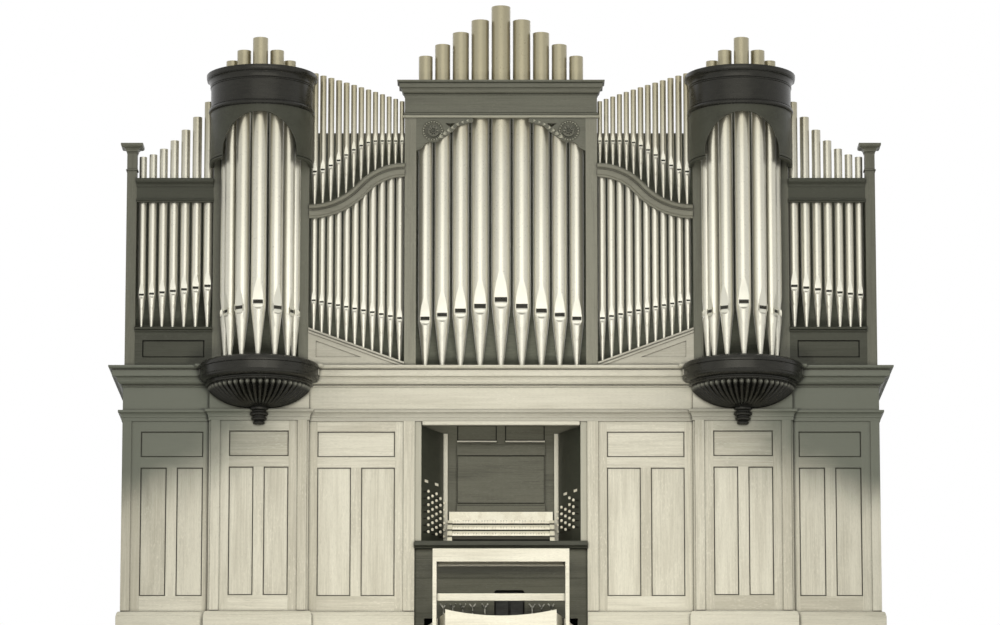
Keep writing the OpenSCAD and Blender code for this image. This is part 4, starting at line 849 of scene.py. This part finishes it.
# %% Ivory
bone = Finish("ivory")
x, y, z = bone.axes()
bone_pale, bone_deep = (0.86, 0.83, 0.70), (0.66, 0.61, 0.47)
line = bone.noise(bone.point(x * 240.0, y * 9.0, z * 240.0), detail=2.0)
cloud = bone.noise(bone.point(x, y, z), scale=14.0, detail=3.0)
share = ((line - 0.5) * 0.7 + (cloud - 0.5) * 0.9 + 0.5).ramped(0.05, 0.95)
# Corners between keys are darkened: painted shade.
corner = bone.crevice(0.012).ramped(0.2, 0.85)
colour = bone.mix((1 - corner) * 0.7, bone.mix(share, bone_deep, bone_pale),
                  scaled(bone_deep, 0.25))
bone.wear(Base_Color=colour, Roughness=0.28 + (cloud - 0.5) * 0.2, Specular_IOR_Level=0.5,
          Normal=bone.bump(line, 0.05, 0.0002, 0.0012))
dress(bone.material, "stop_labels", "natural_keys", "nameboard")
print("ivory nodes", len(bone.tree.nodes))

# %% [markdown]
# ## Key frame and levers
#
# The keys stand in a frame. Under each row of keys the frame is painted near black, as painted
# shade in the gap, and below that it is a pale slip, so that each manual reads as a pale band with
# a black line. The cheeks get short painted shadow lines at each row, and corners get painted
# shade. The heights come from the keys. The toe levers are bare steel that shoes have rubbed
# bright in patches.

# %% Key frame
key_heights = [v.co.z for v in nodes["natural_keys"].data.vertices]
key_half_width = max(v.co.x for v in nodes["natural_keys"].data.vertices)
key_thick, gap_below, gap_above = 0.020, 0.014, 0.002
lowest_key = min(key_heights)
row_rise = (max(key_heights) - lowest_key - key_thick) / 2
frame_wood = Finish("key_frame_wood")
x, y, z = frame_wood.axes()
grain = frame_wood.noise(frame_wood.point(x * 60.0, y * 6.0, z * 60.0), detail=3.0)
pale = frame_wood.mix(grain, (0.50, 0.47, 0.37), (0.66, 0.63, 0.50))
# Bands under the rows of keys and short lines on the cheeks are painted near black: painted shade
# and painted shadow.
shaded_rows = z < lowest_key - gap_below
for k in range(3):
    key_line = lowest_key + k * row_rise
    shaded_rows = shaded_rows + between(z, key_line - gap_below, key_line + gap_above)
inside = abs(x) < key_half_width + 0.001
cheek_shade_lines = shaded_rows * (z > lowest_key - gap_below)
painted_shade_share = inside * shaded_rows * 0.95 + (1 - inside) * cheek_shade_lines * 0.85
# Corners are darkened as well: painted shade.
open_share = frame_wood.crevice(0.02).ramped(0.2, 0.85)
colour = frame_wood.mix(1 - (1 - painted_shade_share) * open_share, pale, (0.022, 0.021, 0.017))
frame_wood.wear(Base_Color=colour, Roughness=0.45 + painted_shade_share * 0.4, Specular_IOR_Level=0.2,
                Normal=frame_wood.bump(grain, 0.1, 0.0004, 0.0015))
dress(frame_wood.material, "key_frames")
print("rows of keys rise by", round(row_rise, 4))

# %% Levers
steel = Finish("worn_steel")
x, y, z = steel.axes()
rub = steel.noise(steel.point(x, y, z), scale=45.0, detail=4.0, roughness=0.6)
fine = steel.noise(steel.point(x * 800.0, y * 800.0, z * 20.0), detail=2.0)
steel.wear(Base_Color=steel.mix(rub.ramped(0.35, 0.65), (0.035, 0.035, 0.03), (0.42, 0.41, 0.35)),
           Metallic=0.9, Roughness=0.30 + rub * 0.22 + fine * 0.05,
           Normal=steel.bump(fine * 0.4 + rub, 0.15, 0.0004, 0.001))
dress(steel.material, "toe_levers")
print("steel nodes", len(steel.tree.nodes))

# %% [markdown]
# ## Turned knobs
#
# The frame's knobs are plain. Each one tells where it stands and which way it points: its points
# spread most along its own axis, and its head is the wider end. A turned outline is spun round
# that axis, dark for the stem and ivory for the head, with a dished face.

# %% Turned outline
knob_outline = [(0.0058, 0.0), (0.0064, 0.003), (0.0050, 0.010), (0.0048, 0.024),
                (0.0060, 0.030), (0.0075, 0.033), (0.0106, 0.0345), (0.0126, 0.0375),
                (0.0130, 0.0415), (0.0127, 0.0455), (0.0112, 0.0485), (0.0090, 0.0497),
                (0.0078, 0.0490), (0.0050, 0.0484), (0.0001, 0.0483)]
knob_segments, stem_rings = 20, 5
knob_points, knob_faces, knob_marks = [], [], []


def spin_knob(base, way):
    """Adds a turned knob: its outline holds (radius, distance along the way) pairs."""
    side = way.orthogonal().normalized()
    other = way.cross(side)
    start = len(knob_points)
    for radius, along in knob_outline:
        for i in range(knob_segments):
            turn = math.tau * i / knob_segments
            knob_points.append(base + way * along
                               + (side * math.cos(turn) + other * math.sin(turn)) * radius)
    for j in range(len(knob_outline) - 1):
        for i in range(knob_segments):
            k, n = start + j * knob_segments, (i + 1) % knob_segments
            knob_faces.append((k + i, k + n, k + knob_segments + n, k + knob_segments + i))
            knob_marks.append(1 if j >= stem_rings else 0)


print("a knob is", max(along for radius, along in knob_outline), "m long")

# %% [markdown]
# The axis of a plain knob is found by turning a guess towards its spread, again and again, until
# it no longer moves. A last look at the sign makes every knob point to the player.

# %% Knobs in place
def knob_axis(points):
    """The foot of a knob, its unit direction and its length."""
    middle = sum(points, Vector()) / len(points)
    way = Vector((0.3, -1, 0))
    for _ in range(20):
        way = sum(((p - middle) * (p - middle).dot(way) for p in points), Vector()).normalized()
    if sum((p - middle).dot(way) ** 3 for p in points) > 0:
        way.negate()
    spread = [(p - middle).dot(way) for p in points]
    return middle + way * min(spread), way, max(spread) - min(spread)


for solid in loose_parts(nodes["draw_knobs"].data):
    foot, way, length = knob_axis(solid)
    if way.y > 0:
        foot, way = foot + way * length, -way
    spin_knob(foot, way)
knob_mesh = smooth_mesh("turned_knobs", knob_points, knob_faces)
turned_knobs = add_piece("turned_knobs", knob_mesh, "ivory", ebony, bone.material)
for face, mark in zip(knob_mesh.polygons, knob_marks):
    face.material_index = mark
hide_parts("draw_knobs")
print("turned knobs", len(knob_points) // (len(knob_outline) * knob_segments))

# %% [markdown]
# ## Carving on the scroll brackets
#
# The brackets in the corners of the middle arch carry a rosette, and a leaf that runs along the
# lower edge to the tip. Each lobe is a small dome, pointed at one end, with a groove down its
# middle. The lobes ring the eye and then follow the edge, and get smaller towards the tip.
#
# The relief has painted shade in its hollows and painted highlights on its tips, which is how it
# shows at all from far off.

# %% Finish of the carving
carved = Finish("carved_oak")
x, y, z = carved.axes()
grain = carved.noise(carved.point(x * 8.0, y * 60.0, z * 60.0), detail=4.0, roughness=0.6)
raised = carved.proud(0.46, 0.56)
open_share = carved.crevice(0.03).ramped(0.35, 0.95)
tone = carved.mix(grain, (0.060, 0.058, 0.044), (0.135, 0.132, 0.10))
# Raised tips are painted pale: painted highlight.
tone = carved.mix(raised * 0.85, tone, (0.50, 0.49, 0.39))
# Hollows are darkened: painted shade.
tone = carved.mix(1 - open_share, tone, (0.012, 0.012, 0.009))
carved.wear(Base_Color=tone, Roughness=0.34 + grain * 0.14 - raised * 0.06,
            Specular_IOR_Level=0.45, Normal=carved.bump(grain, 0.2, 0.0006))
print("carving nodes", len(carved.tree.nodes))

# %% One lobe
def lobe(root, way, length, width, height, rows=8, columns=7):
    """A pointed dome on a board that faces the front: way is its direction in x and z."""
    side = Vector((-way.z, 0, way.x))
    rings = []
    for j in range(rows + 1):
        t = j / rows
        half = width / 2 * math.sin(math.pi * t ** 0.75) ** 0.8 if 0 < j < rows else 0.0
        ring = []
        for i in range(columns + 1):
            s = 2 * i / columns - 1
            groove = 1 - 0.45 * math.exp(-(s / 0.22) ** 2)
            rise = height * math.sin(math.pi * min(1, t * 1.02)) ** 0.6 if 0 < j < rows else 0.0
            rise *= math.sqrt(max(0, 1 - s * s)) * groove
            ring.append(root + way * (length * t) + side * (half * s) + Vector((0, -rise, 0)))
        rings.append(ring)
    return rings


print("ready to carve")

# %% [markdown]
# Petals and a ring of beads stand round the eye, and the trail is a row of three-part leaves.

# %% Rosettes and trails
bracket_points = [v.co for v in nodes["scroll_brackets"].data.vertices]
post_edge = max(p.x for p in bracket_points)
bracket_top = max(p.z for p in bracket_points)
bracket_face = case_front_y - 0.0005
bracket_long, bracket_drop = 0.482, 0.284
eye_share, eye_drop = 0.29, 0.394
# Each lobe's length, width and height, and how far from the eye the rings of lobes begin.
petals, petal_turn, petal_start, petal_size = 9, 0.35, 0.020, (0.030, 0.016, 0.011)
beads, bead_start, bead_size = 22, 0.072, (0.014, 0.014, 0.008)
leaflets, leaflet_size, leaf_shrink = (-26, 0, 26), (0.042, 0.013, 0.009), 0.07
# Shares of the bracket's length and drop for each leaf, and its heading in degrees.
trail = [(0.40, 0.60, 215), (0.47, 0.50, 210), (0.54, 0.40, 205), (0.61, 0.31, 200),
         (0.70, 0.20, 188), (0.79, 0.13, 184), (0.88, 0.08, 182)]


def on_bracket(side, share, drop):
    """A point on a bracket's face, by shares of its length and its drop."""
    return Vector((side * (post_edge - share * bracket_long), bracket_face,
                   bracket_top - drop * bracket_drop))


lobes = []
for side in (-1, 1):
    eye = on_bracket(side, eye_share, eye_drop)
    for k in range(petals):
        turn = math.tau * k / petals + petal_turn
        way = Vector((side * math.cos(turn), 0, math.sin(turn)))
        lobes.append(lobe(eye + way * petal_start, way, *petal_size))
    for k in range(beads):
        turn = math.tau * k / beads
        way = Vector((side * math.cos(turn), 0, math.sin(turn)))
        lobes.append(lobe(eye + way * bead_start, way, *bead_size, 5, 5))
    for k, (share, drop, heading) in enumerate(trail):
        size = 1.0 - leaf_shrink * k
        for spread in leaflets:
            turn = math.radians(heading + spread)
            way = Vector((side * math.cos(turn), 0, -math.sin(turn)))
            lobes.append(lobe(on_bracket(side, share, drop), way,
                              *(length * size for length in leaflet_size), 6, 5))
add_sheets("bracket_carving", lobes, "oak", carved.material, turned=True)
print("carved lobes", len(lobes))

# %% [markdown]
# ## Rounded lobes on the tower bowls
#
# The bowls under the towers are gadrooned: full round lobes run down them and end in a rounded tip
# under the rim, where each one catches a spot of light. The tips are also painted paler, as a
# painted highlight. The solid bowl has shallow hollows only, so a lobe is laid over each crest.
# Its section is a half round that sinks into the hollow at its sides, and its upper end is rounded
# in the same way.

# %% Bowl lobes
lobe_count, bowl_wide, bowl_high, drop_wide = 24, 0.430, 0.180, 0.086
bowl_foot, bowl_middle_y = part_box("pendants")[1][2], -0.615
bowl_curve = ((bowl_wide - drop_wide) ** 2 + bowl_high ** 2) / (2 * bowl_high)
bowl_turn = math.asin((bowl_wide - drop_wide) / bowl_curve)
lobe_rise, lobe_sink, tip_share, lobe_rows = 0.021, 0.012, 0.075, 22
tips_low, tips_high = 0.130, 0.162


def bowl_lobe(middle_x, heading):
    """One lobe, from its tip under the rim down to the bowl's foot."""
    rings = []
    for j in range(lobe_rows + 1):
        down = (j / lobe_rows) ** 2.2
        tip = math.sqrt(max(0.0, 1 - (1 - min(1, down / tip_share)) ** 2))
        lean = bowl_turn * (0.985 - 0.90 * down)
        ring = []
        for i in range(9):
            t = (i - 4) / 4
            rise = lobe_rise * tip * (1 - down) ** 1.3 * math.cos(math.pi / 2 * t * 0.98) ** 0.6
            rise -= lobe_sink * (1 - 0.6 * down) * (1 - math.cos(math.pi / 2 * t)) + 0.0005
            out = drop_wide + (bowl_curve + rise) * math.sin(lean)
            turn = heading + t * tip * 0.84 * math.pi / lobe_count / 2
            ring.append((middle_x + out * math.cos(turn), bowl_middle_y + out * math.sin(turn),
                         bowl_foot + bowl_curve - (bowl_curve + rise) * math.cos(lean)))
        rings.append(ring)
    return rings


# The lobes' tips between these heights get a painted highlight.
lobe_stain = stained("stained_lobes", (0.005, 0.005, 0.004), (0.014, 0.014, 0.011), 0.24, 0.0,
                     highlit_tips=(bowl_foot + tips_low, bowl_foot + tips_high))
bowl_lobes = [bowl_lobe(side * tower_middle, math.pi + math.pi * (k + 0.5) / lobe_count)
              for side in (-1, 1) for k in range(lobe_count)]
add_sheets("bowl_lobes", bowl_lobes, "stained", lobe_stain, turned=True)
print("bowl lobes", len(bowl_lobes))

# %% [markdown]
# ## Boards behind the arches
#
# The inside of the organ is dark. Over the frame's screens the arches would show the sky between
# the pipes, so a board closes the back of each tower and of the middle, as in the real case.
# Every board gets its edges eased, since a sharp edge catches no light.

# %% Back boards
def board(name, low, high, material, slot, round_by=0.002):
    """A board with eased edges between two corners."""
    work = bmesh.new()
    bmesh.ops.create_cube(work, size=1.0)
    for v in work.verts:
        v.co = Vector([low[k] + (v.co[k] + 0.5) * (high[k] - low[k]) for k in range(3)])
    bmesh.ops.bevel(work, geom=work.edges[:], offset=round_by, segments=2, affect="EDGES",
                    profile=0.6)
    mesh = bpy.data.meshes.new(name)
    work.to_mesh(mesh)
    work.free()
    return add_piece(name, mesh, slot, material)


screen_top = max(v.co.z for v in nodes["pipe_screens"].data.vertices)
screen_face = min(v.co.y for v in nodes["pipe_screens"].data.vertices)
board_thick, overlap = 0.024, 0.01
for name, middle_x, half, rise in (("middle_back_board", 0.0, 0.70, 0.22),
                                   ("left_tower_back_board", -tower_middle, 0.31, 0.30),
                                   ("right_tower_back_board", tower_middle, 0.31, 0.30)):
    board(name, (middle_x - half, screen_face, screen_top - overlap),
          (middle_x + half, screen_face + board_thick, screen_top + rise), screen_stain,
          "stained")
print("boards over the screens from", round(screen_top, 3))

# %% [markdown]
# ## Lintel and ledges of the console
#
# A pale lintel closes the console's opening at the top, with a round lower edge, and a narrow
# ledge runs under each of the two small panels at the back of the recess.

# %% Lintel and ledges
opening_half = 0.66
lintel_front, lintel_back, lintel_high = -0.575, -0.530, 0.033
lintel_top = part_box("architrave")[0][2]
lintel_low = lintel_top - lintel_high
board("console_lintel", (-opening_half, lintel_front, lintel_low),
      (opening_half, lintel_back, lintel_top), course_oak, "oak", round_by=0.008)
ledge_near, ledge_far = 0.037, 0.372
ledge_front, ledge_back, ledge_low, ledge_top = -0.078, -0.060, 1.785, 1.797
for name, left, right in (("left_recess_ledge", -ledge_far, -ledge_near),
                          ("right_recess_ledge", ledge_near, ledge_far)):
    board(name, (left, ledge_front, ledge_low), (right, ledge_back, ledge_top),
          light_board_oak, "oak")
print("console lintel from", round(lintel_low, 3), "up to", round(lintel_top, 3))

# %% [markdown]
# ## The floor's finish, and a last look
#
# The floor is pale and plain, with a faint unevenness, so that nothing draws the eye from the
# organ. Then every part is asked whether it has a finish.

# %% Floor finish
ground = Finish("pale_floor")
x, y, z = ground.axes()
speck = ground.noise(ground.point(x, y, z), scale=3.0, detail=4.0)
ground.wear(Base_Color=ground.mix(speck, (0.80, 0.80, 0.79), (0.86, 0.86, 0.85)), Roughness=0.85)
floor_mesh.materials.append(ground.material)
print("undressed parts", [n for n, o in nodes.items()
                          if not o.data.materials or not o.data.materials[0].use_nodes])
